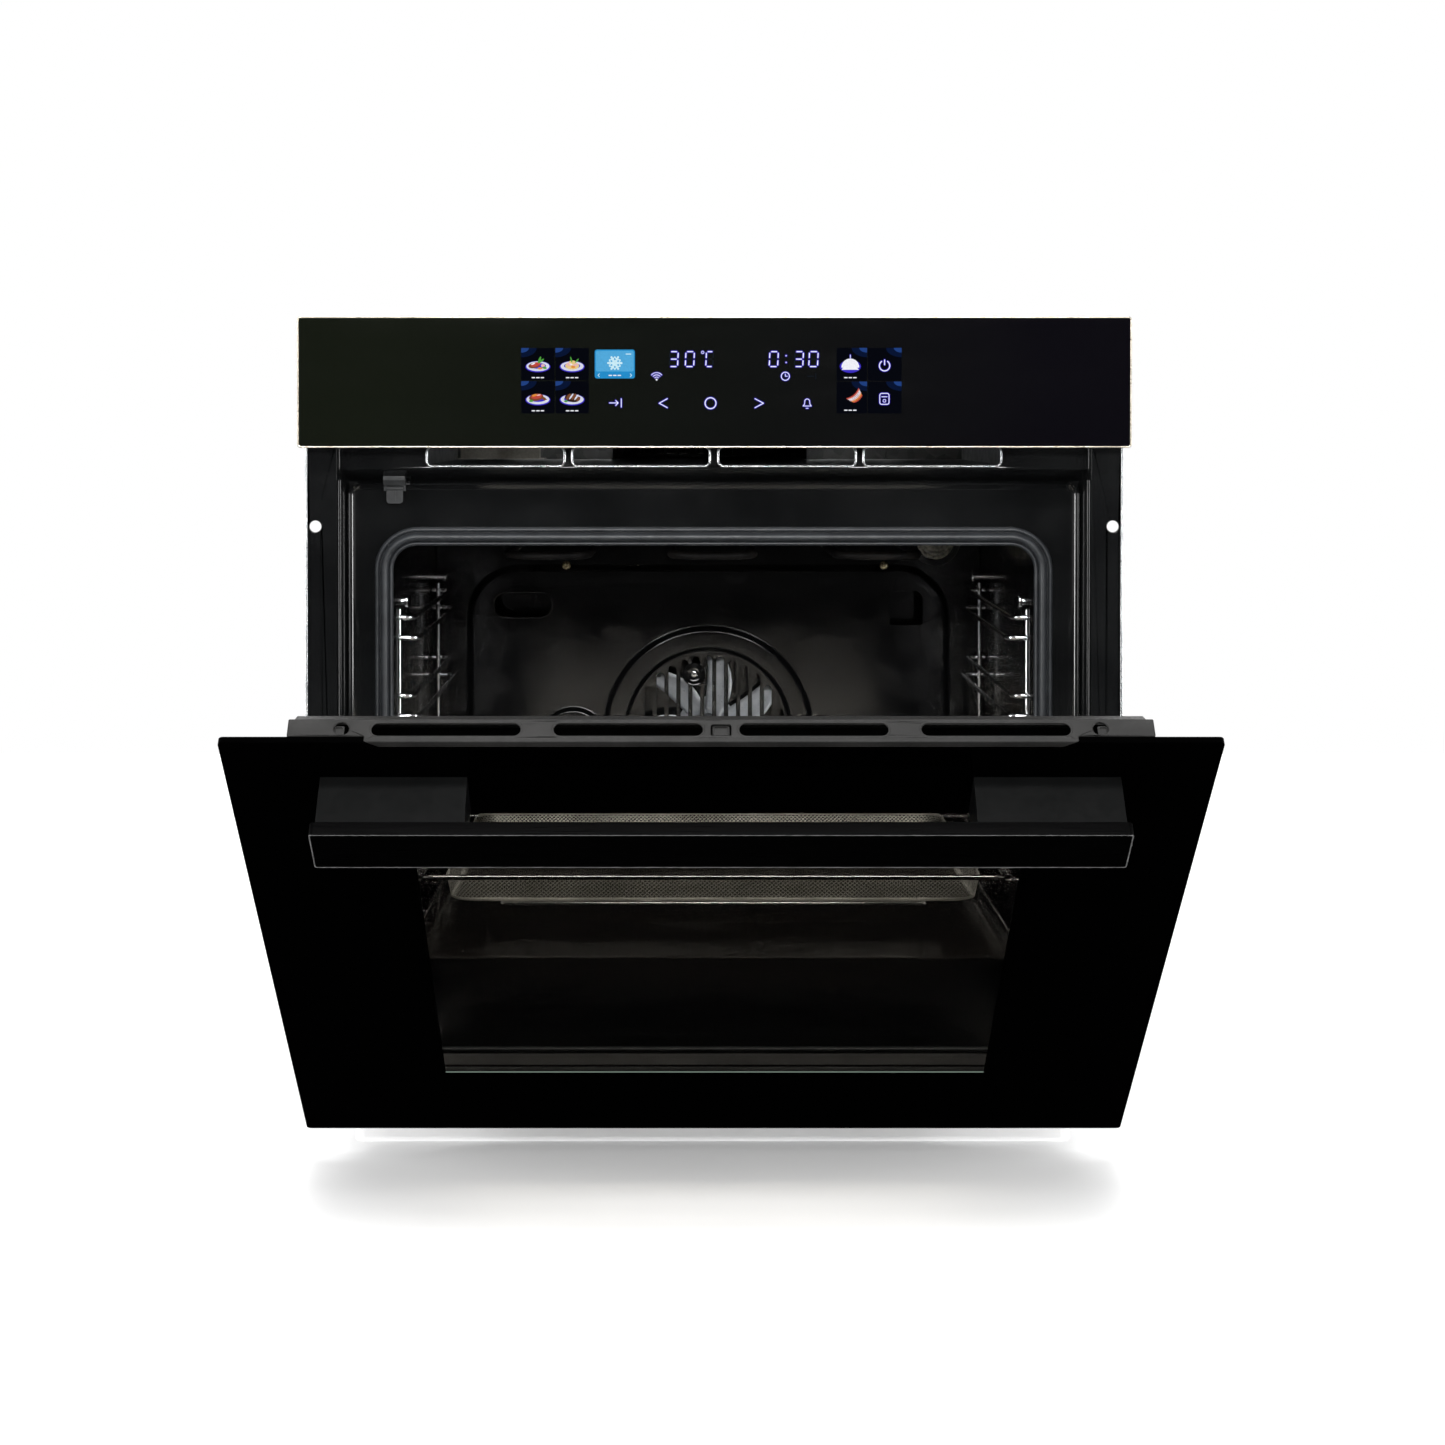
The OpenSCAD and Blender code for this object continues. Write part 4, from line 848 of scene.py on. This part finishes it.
def casing_screws():
    lowest, highest = low("casing_screws"), high("casing_screws")
    side = low("side_panel_left").x
    rear = high("rear_panel").y
    top = high("rear_panel").z + 1.2
    heads = []
    for x in (side + 14, -side - 14):
        for z in (24, 300, top - 24):
            heads.append(screw_head((x, rear, z), (0, 1, 0), 4, highest.y - rear))
    for y in (lowest.y + 4, high("rear_panel").y - 20):
        for z in (low("side_panel_left").z + 84.2, top - 24):
            heads.append(screw_head((side, y, z), (-1, 0, 0), 4, side - lowest.x))
            heads.append(screw_head((-side, y, z), (1, 0, 0), 4, side - lowest.x))
    add_piece("casing_screw_heads", merged(heads), "casing", "zinc", ["casing_screws"])


def lamp_lens():
    """Pressed lens of the oven lamp, domed and ringed."""
    centre = (low("lamp_glass") + high("lamp_glass")) / 2
    r = (high("lamp_glass").x - low("lamp_glass").x) / 2
    front = low("lamp_glass").y
    back = high("lamp_glass").y
    r -= 0.3
    rings = [[(a, back, b) for a, b in circle(centre.x, centre.z, r, 48)]]
    count = 26
    for k in range(count + 1):
        share = 1 - k / count
        ripple = 0.35 * math.cos(share * 9 * math.pi)
        depth = front + 0.6 + 5.5 * share ** 2 + ripple * (share < 0.98)
        outline = circle(centre.x, centre.z, max(0.2, r * share), 48)
        rings.append([(a, depth, b) for a, b in outline])
    add_piece("lamp_lens", loft(rings, last_cap=True), "casing", "lamp_glass", ["lamp_glass"])


def panel_screw_heads():
    lowest, highest = low("panel_screws"), high("panel_screws")
    z = (lowest.z + highest.z) / 2
    heads = [
        screw_head((x, highest.y, z), (0, -1, 0), 4, highest.y - lowest.y)
        for x in (lowest.x + 4, highest.x - 4)
    ]
    add_piece("panel_screw_heads", merged(heads), "casing", "brass", ["panel_screws"])


# ---- Display ----

COLOURS = {
    "white": ((0.92, 0.93, 1.0), 1.0), "halo": ((0.08, 0.05, 0.95), 0.6),
    "dim": ((0.008, 0.012, 0.02), 1.0),
    "tile": ((0.002, 0.0025, 0.005), 1.0), "blue": ((0.03, 0.10, 0.42), 0.55),
    "deep": ((0.003, 0.008, 0.035), 1.0),
    "cyan": ((0.09, 0.42, 0.75), 1.0), "ice": ((0.62, 0.88, 0.98), 1.0),
    "sky": ((0.02, 0.28, 0.62), 1.0),
    "plate": ((0.72, 0.74, 0.86), 1.0), "red": ((0.55, 0.07, 0.05), 1.0),
    "brown": ((0.20, 0.07, 0.03), 1.0),
    "green": ((0.08, 0.36, 0.05), 1.0), "yellow": ((0.85, 0.62, 0.25), 1.0),
    "pink": ((0.85, 0.50, 0.48), 1.0),
    "orange": ((0.80, 0.28, 0.05), 1.0), "dark": ((0.03, 0.012, 0.01), 1.0),
}


class Drawing:
    """Flat shapes on the display, in millimetres from its upper left corner. Each higher layer
    lies a little further in front."""

    def __init__(self, left, top, y):
        self.left, self.top, self.y = left, top, y
        self.points, self.faces, self.paint = [], [], []

    def shape(self, outline, colour, layer):
        start = len(self.points)
        y = self.y - 0.02 * layer
        self.points.extend((self.left + a, y, self.top - b) for a, b in outline)
        self.faces.append(tuple(range(start, len(self.points))))
        self.paint.append(colour)

    def oval(self, x, y, rx, ry, colour, layer, turn=0, steps=20):
        c, s = math.cos(math.radians(turn)), math.sin(math.radians(turn))
        round_points = [(rx * a, ry * b) for a, b in circle(0, 0, 1, steps)]
        self.shape([(x + a * c - b * s, y + a * s + b * c) for a, b in round_points], colour, layer)

    def tile(self, x0, y0, x1, y1, r, colour, layer):
        self.shape(rounded(x0, x1, y0, y1, r, 4), colour, layer)

    def line(self, points, width, colour, layer, closed=False):
        """A stroke with round ends and joints."""
        path = points + points[:1] if closed else points
        for (ax, ay), (bx, by) in zip(path, path[1:]):
            length = math.hypot(bx - ax, by - ay)
            nx, ny = (ay - by) / length * width / 2, (bx - ax) / length * width / 2
            self.shape([(ax + nx, ay + ny), (bx + nx, by + ny), (bx - nx, by - ny), (ax - nx, ay - ny)],
                       colour, layer)
        for x, y in path:
            self.oval(x, y, width / 2, width / 2, colour, layer + 0.4, steps=10)

    def lit(self, points, width, closed=False):
        """A white stroke in a blue halo."""
        self.line(points, width + 0.6, "halo", 4, closed)
        self.line(points, width * 0.72, "white", 6, closed)

    def arc(self, x, y, r, start, end, steps=20):
        turns = [math.radians(start + (end - start) * k / steps) for k in range(steps + 1)]
        return [(x + r * math.cos(a), y - r * math.sin(a)) for a in turns]


SEGMENTS = {"0": "abcdef", "3": "abcdg", "C": "adef"}


def digit(draw, x, y, width, height, symbol):
    """Seven-segment figure; the segments that are off show faintly."""
    lean = 0.5
    half = height / 2
    gap = 1.15
    ends = {
        "a": ((gap, 0), (width - gap, 0)), "b": ((width, gap), (width, half - gap)),
        "c": ((width, half + gap), (width, height - gap)), "d": ((gap, height), (width - gap, height)),
        "e": ((0, half + gap), (0, height - gap)), "f": ((0, gap), (0, half - gap)),
        "g": ((gap, half), (width - gap, half)),
    }
    for name, segment in ends.items():
        path = [(x + a + lean * (1 - b / height), y + b) for a, b in segment]
        if name in SEGMENTS[symbol]:
            draw.lit(path, 1.1)
        else:
            draw.line(path, 0.8, "dim", 2)


def corner_glow(draw, x0, y0, x1, y1, right=False):
    """Blue light in an upper corner of a tile, fading in steps."""
    draw.tile(x0, y0, x1, y1, 1.0, "tile", 0)
    corner = x1 if right else x0
    for reach, colour, layer in ((11, "deep", 1), (5.5, "blue", 2)):
        side = -1 if right else 1
        outline = [(corner, y0)] + [
            (corner + side * reach * math.cos(a), y0 + 0.6 * reach * math.sin(a)) for a in angles(90, 8)
        ]
        draw.shape(outline, colour, layer)


FOODS = [
    [("brown", -2.6, -1.5, 4.2, 2.0, -12), ("red", -1.6, -2.2, 3.6, 1.5, -12),
     ("green", 1.2, -5.4, 0.8, 2.6, 20),
     ("green", 2.6, -4.8, 0.7, 2.2, 50), ("pink", 3.6, -1.4, 1.4, 1.1, 0),
     ("green", 4.8, 0.2, 1.5, 0.9, 10),
     ("orange", 1.6, 0.6, 1.8, 0.8, 0), ("white", -3.4, -2.6, 1.6, 0.5, -20)],
    [("yellow", 0, -1.2, 5.0, 2.6, 0), ("pink", -2.2, -2.2, 1.9, 1.2, 20),
     ("pink", 2.4, -2.0, 1.9, 1.2, -20),
     ("yellow", 0.2, -3.6, 2.6, 1.4, 0), ("green", -0.6, -5.6, 0.5, 2.2, -15),
     ("green", 3.4, -4.8, 0.5, 2.0, 40),
     ("orange", 0.8, -0.4, 1.6, 0.8, 0), ("white", -0.8, -2.4, 1.2, 0.4, 15)],
    [("brown", -1.2, -2.4, 5.2, 2.6, -8), ("red", -0.8, -3.0, 4.0, 1.7, -8),
     ("orange", -2.4, -3.8, 1.9, 0.8, -15),
     ("brown", 4.4, -1.4, 2.6, 1.0, 35), ("pink", 0.6, -4.0, 1.5, 0.5, -10),
     ("green", -4.8, 0.2, 1.6, 0.8, 0),
     ("white", 6.0, 0.0, 0.9, 0.5, 0)],
    [("dark", 0, -1.8, 5.4, 2.8, 10), ("brown", -2.6, -2.8, 1.1, 2.6, 35),
     ("plate", -0.6, -3.0, 0.6, 2.6, 35),
     ("brown", 1.2, -2.8, 1.1, 2.6, 35), ("plate", 3.0, -2.4, 0.6, 2.4, 35),
     ("brown", 4.4, -1.2, 1.2, 1.8, 35),
     ("green", -4.4, 0.4, 1.4, 0.7, 0)],
]


def food_tiles(draw):
    width, height = 24.4, 23.6
    for k, food in enumerate(FOODS):
        x0, y0 = k % 2 * width, k // 2 * height
        corner_glow(draw, x0 + 0.3, y0 + 0.3, x0 + width - 0.3, y0 + height - 0.3)
        cx, cy = x0 + 12.2, y0 + 13.6
        draw.oval(cx, cy, 8.9, 4.0, "halo", 4, steps=28)
        draw.oval(cx, cy - 0.3, 8.2, 3.5, "plate", 5, steps=28)
        draw.oval(cx, cy - 0.6, 5.8, 2.1, "halo", 6, steps=24)
        for n, (colour, x, y, rx, ry, turn) in enumerate(food):
            draw.oval(cx + x, cy + y + 0.6, rx, ry, colour, 8 + n, turn)
        dashes(draw, cx, y0 + 21.4)


def dashes(draw, x, y):
    """Stands where a label would be."""
    for k in (-1, 0, 1):
        draw.line([(x + 3.2 * k - 0.9, y), (x + 3.2 * k + 0.9, y)], 0.8, "white", 6)


def mode_tile(draw):
    draw.tile(52.7, 1.4, 81.3, 22.0, 1.6, "sky", 1)
    draw.tile(53.5, 2.2, 80.5, 17.0, 1.2, "cyan", 2)
    cx, cy = 67, 11
    for k in range(6):
        c, s = math.cos(math.pi * k / 3), math.sin(math.pi * k / 3)
        draw.line([(cx, cy), (cx + 4.8 * c, cy + 4.8 * s)], 1.5, "ice", 4)
        for side in (-0.5, 0.5):
            tip = math.pi * k / 3 + side
            end = (cx + 4.4 * math.cos(tip), cy + 4.4 * math.sin(tip))
            draw.line([(cx + 2.8 * c, cy + 2.8 * s), end], 0.8, "ice", 5)
    draw.oval(cx, cy, 2.1, 2.1, "ice", 7)
    dashes(draw, cx, 19.8)
    draw.line([(56, 18.6), (55, 19.7), (56, 20.8)], 0.5, "ice", 5)
    draw.line([(78, 18.6), (79, 19.7), (78, 20.8)], 0.5, "ice", 5)
    draw.line([(75, 4.6), (78.4, 4.6)], 0.7, "ice", 5)


def icons(draw):
    """The row of touch marks, the clock and the radio mark."""
    draw.lit([(63.2, 39.4), (69.4, 39.4)], 0.8)
    draw.lit([(67.6, 37.6), (69.4, 39.4), (67.6, 41.2)], 0.8)
    draw.lit([(71.6, 36.4), (71.6, 42.4)], 0.8)
    draw.lit([(104.4, 36.4), (98.6, 39.6), (104.4, 42.8)], 0.9)
    draw.lit(draw.arc(135.2, 39.6, 3.9, 0, 345), 1.0, closed=True)
    draw.lit([(166.9, 36.4), (172.9, 39.6), (166.9, 42.8)], 0.9)
    bell = [(201.2, 41.6), (202.2, 40.2), (202.4, 38.2)] + draw.arc(204.1, 38.4, 1.8, 170, 10, 8)
    draw.lit(bell + [(205.8, 38.2), (206.0, 40.2), (207.0, 41.6)], 0.7, closed=True)
    draw.lit([(203.4, 43.2), (204.8, 43.2)], 0.7)
    for r in (1.6, 3.2, 4.8):
        draw.lit(draw.arc(96.8, 22.6, r, 140, 40, 8), 0.7)
    draw.oval(96.8, 22.8, 0.7, 0.7, "white", 6)
    draw.lit(draw.arc(188.5, 20.4, 2.9, 0, 345), 0.8, closed=True)
    draw.lit([(188.5, 18.8), (188.5, 20.4), (189.9, 20.4)], 0.6)
    draw.line([(204.4, 20.4), (208.6, 20.4)], 0.6, "dim", 2)
    draw.line([(210.2, 18.4), (210.2, 22.4)], 0.6, "dim", 2)


def figures(draw):
    for x, width, symbol in ((105.9, 5.8, "3"), (117.2, 6.0, "0"), (131.8, 5.0, "C"), (177.0, 6.0, "0"),
                             (195.0, 5.9, "3"), (205.2, 6.2, "0")):
        digit(draw, x, 2.9, width, 10.6, symbol)
    draw.lit(draw.arc(129.6, 3.4, 0.9, 0, 330, 8), 0.5, closed=True)
    for y in (5.8, 10.6):
        draw.lit([(189.0, y), (189.1, y)], 1.2)


def right_tiles(draw):
    for x0, x1, y0, y1 in ((225, 246.7, 0.2, 23.6), (247.3, 271.3, 0.2, 23.6), (225, 246.7, 24.2, 46.9),
                           (247.3, 271.3, 24.2, 46.9)):
        corner_glow(draw, x0, y0, x1, y1, right=True)
    dome = draw.arc(234.8, 14.2, 6.4, 180, 0, 16)
    draw.oval(234.8, 13.4, 7.6, 4.6, "halo", 4)
    draw.shape(dome[::-1] + [(241.0, 15.8), (228.6, 15.8)], "white", 6)
    draw.lit([(234.8, 5.2), (234.8, 7.4)], 0.6)
    dashes(draw, 234.8, 21.4)
    draw.lit(draw.arc(259.2, 12.9, 3.7, 125, 415), 1.0)
    draw.lit([(259.2, 8.8), (259.2, 12.2)], 1.0)
    for k, colour in enumerate(("red", "pink", "plate", "pink", "orange", "red")):
        bow = draw.arc(230.0 + 1.1 * k, 25.0 + 1.2 * k, 11.6 - 0.7 * k, -78, -22, 10)
        draw.line(bow, 0.8, colour, 4 + 0.5 * k)
    dashes(draw, 234.8, 44.6)
    draw.lit(rounded(255.8, 262.4, 32.6, 40.4, 1.4, 4), 0.8, closed=True)
    draw.lit([(257.2, 35.0), (261.0, 35.0)], 0.7)
    draw.lit(rounded(258.2, 260.0, 37.0, 38.8, 0.4, 2), 0.5, closed=True)


def display():
    corner = low("display_module")
    module_left = -2 - 272 / 2
    draw = Drawing(module_left, (corner.z + high("display_module").z) / 2 + 23.4, PANEL_Y - 0.03)
    food_tiles(draw)
    mode_tile(draw)
    figures(draw)
    icons(draw)
    right_tiles(draw)
    names = sorted(set(draw.paint))
    piece = add_piece("display_picture", (draw.points, draw.faces), "casing", "black_glass",
                      material=[glow(name, *COLOURS[name]) for name in names])
    for polygon, colour in zip(piece.data.polygons, draw.paint):
        polygon.material_index = names.index(colour)


# ---- Fan ----

def fan():
    """Stamped fan: a back disc with broad pitched blades, and its hub."""
    lowest, highest = low("convection_fan"), high("convection_fan")
    front = lowest.y + 3.5
    back = front + 21
    disc = loft([[(a, back + h, b) for a, b in circle(0, FAN_Z, r, 64)]
                 for r, h in ((26, 0), (26, 1), (12, 1), (12, 0), (26, 0))])
    shapes = [disc]
    blades = 7
    for n in range(blades):
        turn = 2 * math.pi * n / blades + 0.35
        rings = []
        for k in range(9):
            share = k / 8
            r = 13 + 53 * share
            half = 5 + 6 * math.sin(math.pi * min(1, share * 0.75 + 0.1))
            ring = []
            for m in range(7):
                across = (m / 6 - 0.5) * 2 * half
                pitch = across / half * (8.5 - 2 * share) + 1.2 * math.cos(across / half * math.pi)
                sweep = turn + 0.22 * share ** 2
                x = r * math.cos(sweep) - across * math.sin(sweep)
                z = r * math.sin(sweep) + across * math.cos(sweep)
                ring.append((x, (front + back) / 2 + pitch, FAN_Z + z))
            rings.append(ring)
        shapes.append(loft(rings, closed=False))
    thicken(add_piece("fan_impeller", merged(shapes), "fan", "fan_alu", ["convection_fan"]), 1.0)
    hub = [(4, -4), (9.5, -3.5), (10, -2), (10, 18), (12, 20)]
    shaft = [(4, 22), (4, highest.y - front)]
    rings = [[(a, front + h, b) for a, b in circle(0, FAN_Z, r, 48)] for r, h in hub + shaft]
    add_piece("fan_hub", loft(rings, last_cap=True), "fan", "motor")


# ---- Tray and basket ----

def baking_tray():
    lowest, highest = low("baking_tray"), high("baking_tray")
    rim = highest.z
    deep = rim - lowest.z
    levels = [(0.6, -1.1), (0.0, -0.6), (0.5, -0.1), (1.6, 0), (9.0, 0), (10.6, -0.3), (12.0, -1.6)]
    wall = 33
    for k in range(1, 11):
        share = k / 10
        levels.append((12.0 + wall * share, -1.6 - (deep - 3.0) * (0.35 * share + 0.65 * ease(share))))
    levels += [(50, -deep + 1.0), (58, -deep + 0.9)]
    rings = []
    for inset, drop in levels:
        rings.append(around(lowest, highest, inset, rim + drop, max(8, 18 - inset * 0.12), 10))
    shell = add_piece("tray_shell", loft(rings, last_cap=True), "tray", "enamel_speckle",
                      ["baking_tray"], tray_enamel().material)
    thicken(shell, 0.8, -1 if face_points_up(shell) else 1)


def face_points_up(obj):
    """True if the largest face of the piece points up."""
    return max(obj.data.polygons, key=lambda p: p.area).normal.z > 0


def lattice(columns, rows, step, rise, hole, inside=None):
    """Staggered diamond mesh on a flat (u, v) sheet: each cell is four strips around a hole.
    Returns points as (u, v, relief) and faces."""
    points, faces, index = [], [], {}

    def point(u, v, relief):
        key = (round(u, 3), round(v, 3), relief)
        if key not in index:
            index[key] = len(points)
            points.append((u, v, relief))
        return index[key]

    for row in range(rows):
        for column in range(columns):
            u = (2 * column + row % 2) * step
            v = row * rise
            if inside and not inside(u, v):
                continue
            ways = ((step, 0, 1), (0, rise, 0), (-step, 0, 1), (0, -rise, 0))
            outer = [point(u + a, v + b, relief) for a, b, relief in ways]
            inner = [point(u + a * hole, v + b * hole, 0.5) for a, b, _ in ways]
            for k in range(4):
                n = (k + 1) % 4
                faces.append((outer[k], outer[n], inner[n], inner[k]))
    return points, faces


def walk(outline):
    """Length of a closed outline, and a function from a distance along it to a point and its
    outward direction."""
    ends = outline[1:] + outline[:1]
    lengths = [math.hypot(b[0] - a[0], b[1] - a[1]) for a, b in zip(outline, ends)]
    total = sum(lengths)

    def at(distance):
        distance %= total
        for a, b, length in zip(outline, ends, lengths):
            if distance <= length and length > 0:
                share = distance / length
                x, y = b[0] - a[0], b[1] - a[1]
                return (a[0] + x * share, a[1] + y * share), (y / length, -x / length)
            distance -= length
        return outline[0], (1, 0)

    return total, at


BASKET_CORNER = 20
BASKET_DRAFT = 4
BASKET_RELIEF = 0.45


def basket():
    """Mesh basket: woven floor and walls, a pressed rim, a folded foot and a wire under it."""
    lowest, highest = low("air_fry_basket"), high("air_fry_basket")
    basket_floor(lowest, highest)
    basket_walls(lowest, highest)
    basket_edges(lowest, highest)
    ends = ((157.5, 0.2), (157, 1.9), (155.5, 2.4), (154, 1.6))
    ends = [(-x, r) for x, r in ends] + list(ends[::-1])
    foot = loft([[(x, a, b) for a, b in circle(lowest.y + 6, lowest.z - 1.8, r, 16)] for x, r in ends],
                first_cap=True, last_cap=True)
    add_piece("basket_foot_wire", foot, "basket", "chrome_wire")


def basket_floor(lowest, highest):
    step, rise = 2.0, 1.6
    edge = BASKET_DRAFT + 2.6
    x0, y0 = lowest.x + edge, lowest.y + edge
    width, depth = highest.x - edge - x0, highest.y - edge - y0

    def inside(u, v):
        dx = max(0, abs(u - width / 2) - width / 2 + BASKET_CORNER)
        dy = max(0, abs(v - depth / 2) - depth / 2 + BASKET_CORNER)
        return math.hypot(dx, dy) <= BASKET_CORNER

    points, faces = lattice(int(width / (2 * step)) + 1, int(depth / rise) + 1, step, rise, 0.76, inside)
    floor = [(x0 + u, y0 + v, lowest.z + 0.5 + BASKET_RELIEF * r) for u, v, r in points]
    # The floor's darker mesh finish is painted shade.
    add_piece("basket_floor", (floor, faces), "basket", "mesh", material=mesh_floor_painted_shade().material,
              sharp=180)


def basket_walls(lowest, highest):
    total, at = walk(rounded(lowest.x, highest.x, lowest.y, highest.y, BASKET_CORNER, 12))
    count = int(total / 3.4)
    step, rise = total / count / 2, 1.45
    foot, top = lowest.z + 2.4, highest.z - 1.2
    points, faces = lattice(count, int((top - foot) / rise) + 1, step, rise, 0.78)
    wall = []
    for u, v, r in points:
        (x, y), (ox, oy) = at(u)
        share = (highest.z - foot - v) / (highest.z - lowest.z)
        lean = BASKET_DRAFT * share + BASKET_RELIEF * (1 - r)
        wall.append((x - ox * lean, y - oy * lean, foot + v))
    add_piece("basket_walls", (wall, faces), "basket", "mesh", sharp=180)


def basket_edges(lowest, highest):
    def ring(inset, z):
        return around(lowest, highest, inset, z, BASKET_CORNER - inset / 2, 12)

    rolled = ((1.1, -2.6), (0.5, -2.4), (0.1, -1.2), (0.5, -0.2), (1.2, 0), (1.8, -0.3), (2.0, -1.3),
              (1.5, -2.4))
    rim = [ring(inset, highest.z + z) for inset, z in rolled]
    add_piece("basket_rim", loft(rim + rim[:1]), "basket", "mesh", ["air_fry_basket"])
    turns = [math.pi / 2 * k / 6 for k in range(7)]
    fold = [ring(BASKET_DRAFT + 2.9 * (1 - math.cos(a)), lowest.z + 2.9 - 2.6 * math.sin(a))
            for a in turns]
    thicken(add_piece("basket_fold", loft(fold), "basket", "mesh"), 0.3)


# ---- Door ----

def strip_box(x0, x1, t0, t1, z0, z1):
    """Thin bar on the door."""
    corners = [(x0, t0, z0), (x1, t0, z0), (x1, t1, z0), (x0, t1, z0),
               (x0, t0, z1), (x1, t0, z1), (x1, t1, z1), (x0, t1, z1)]
    faces = [(0, 1, 2, 3), (7, 6, 5, 4), (0, 4, 5, 1), (1, 5, 6, 2), (2, 6, 7, 3), (3, 7, 4, 0)]
    return [door_point(*c) for c in corners], faces


def bar_edge():
    """Lighter grey bead round the face of the handle bar: a painted highlight along its edges."""
    rings = []
    for u, h in bead_profile(0.45, 0.3, 6):
        outline = rounded(-243.3 + u, 243.3 - u, 414.7 + u, 449.3 - u, 1.5, 4)
        rings.append([door_point(a, -40.85 - h, b) for a, b in outline])
    add_piece("bar_edge", loft(rings), "door", "handle_black", material=bar_edge_painted_highlight().material)


TRIM_TOP = 486


def trim_lips():
    """Rounded lips round the four air slots of the top trim."""
    shapes = []
    for start, end in ((10, 100), (118, 208), (-100, -10), (-208, -118)):
        rings = []
        for u, h in bead_profile(0.9, 0.7, 8):
            outline = rounded(start + u, end - u, 4.2 + u, 14.8 - u, 5.2 - u, 8)
            rings.append([door_point(a, b, TRIM_TOP + h - 0.75) for a, b in outline])
        shapes.append(loft(rings))
    add_piece("trim_slot_lips", merged(shapes), "door", "dark_trim")


def trim_plugs():
    """Moulded plugs in the three small holes of the top trim."""
    shapes = []
    for x, t, half, deep in ((-226.5, 9.5, 3.2, 3.2), (0, 9.5, 5.2, 3.4), (226.5, 9.5, 3.2, 3.2)):
        levels = [(0, 1.6), (0.6, 1.2), (1.0, 1.2), (1.2, 1.8)]
        rings = []
        for inset, drop in levels:
            outline = rounded(x - half + inset, x + half - inset, t - deep + inset,
                              t + deep - inset, 0.9, 3)
            rings.append([door_point(a, b, TRIM_TOP - drop) for a, b in outline])
        shapes.append(loft(rings, last_cap=True))
    add_piece("trim_plugs", merged(shapes), "door", "dark_trim")


def window_edge():
    """The pane's lower edge as a thin glowing line along the foot of the window: painted light for the light that
    edge catches.
    """
    half = 190.5
    foot = 80.5
    line = strip_box(-half, half, 4.05, 4.35, foot + 0.6, foot + 1.7)
    # The line's glow is painted light, not a lamp.
    edge = add_piece("window_edge_painted_glow", line, "door", "door_glass",
                     material=glow("edge", (0.30, 0.42, 0.38), 1.4))
    soften(edge, 0.1)


def make_floor():
    """A pale floor, and the low plinth that the casing stands on, which leaves room for the
    handle under a fully open door."""
    paint = floor_paint()
    drop = -22
    sizes = {"floor": (-3500, 3500, -3500, 2000, drop - 10, drop),
             "plinth": (-270, 270, low("base_plate").y + 5, high("rear_panel").y - 5, drop, -0.05)}
    for name, (x0, x1, y0, y1, z0, z1) in sizes.items():
        rings = [[(x, y, z) for x, y in rounded(x0, x1, y0, y1, 8, 4)] for z in (z0, z1)]
        points, faces = loft(rings, first_cap=True, last_cap=True)
        mesh = bpy.data.meshes.new(name)
        mesh.from_pydata([[c * MM for c in p] for p in points], [], faces)
        mesh.materials.append(paint)
        block = place(name, mesh, (0, 0, 0))
        block.visible_glossy = False


make_camera()
make_lights()
make_world()
make_floor()
dress_nodes()
for build in (gasket, slot_lips, recess_edges, panel_pressings, bar_edge, trim_lips, trim_plugs,
              guard_screw, casing_screws, lamp_lens, panel_screw_heads, display, fan, baking_tray,
              basket, window_edge):
    build()
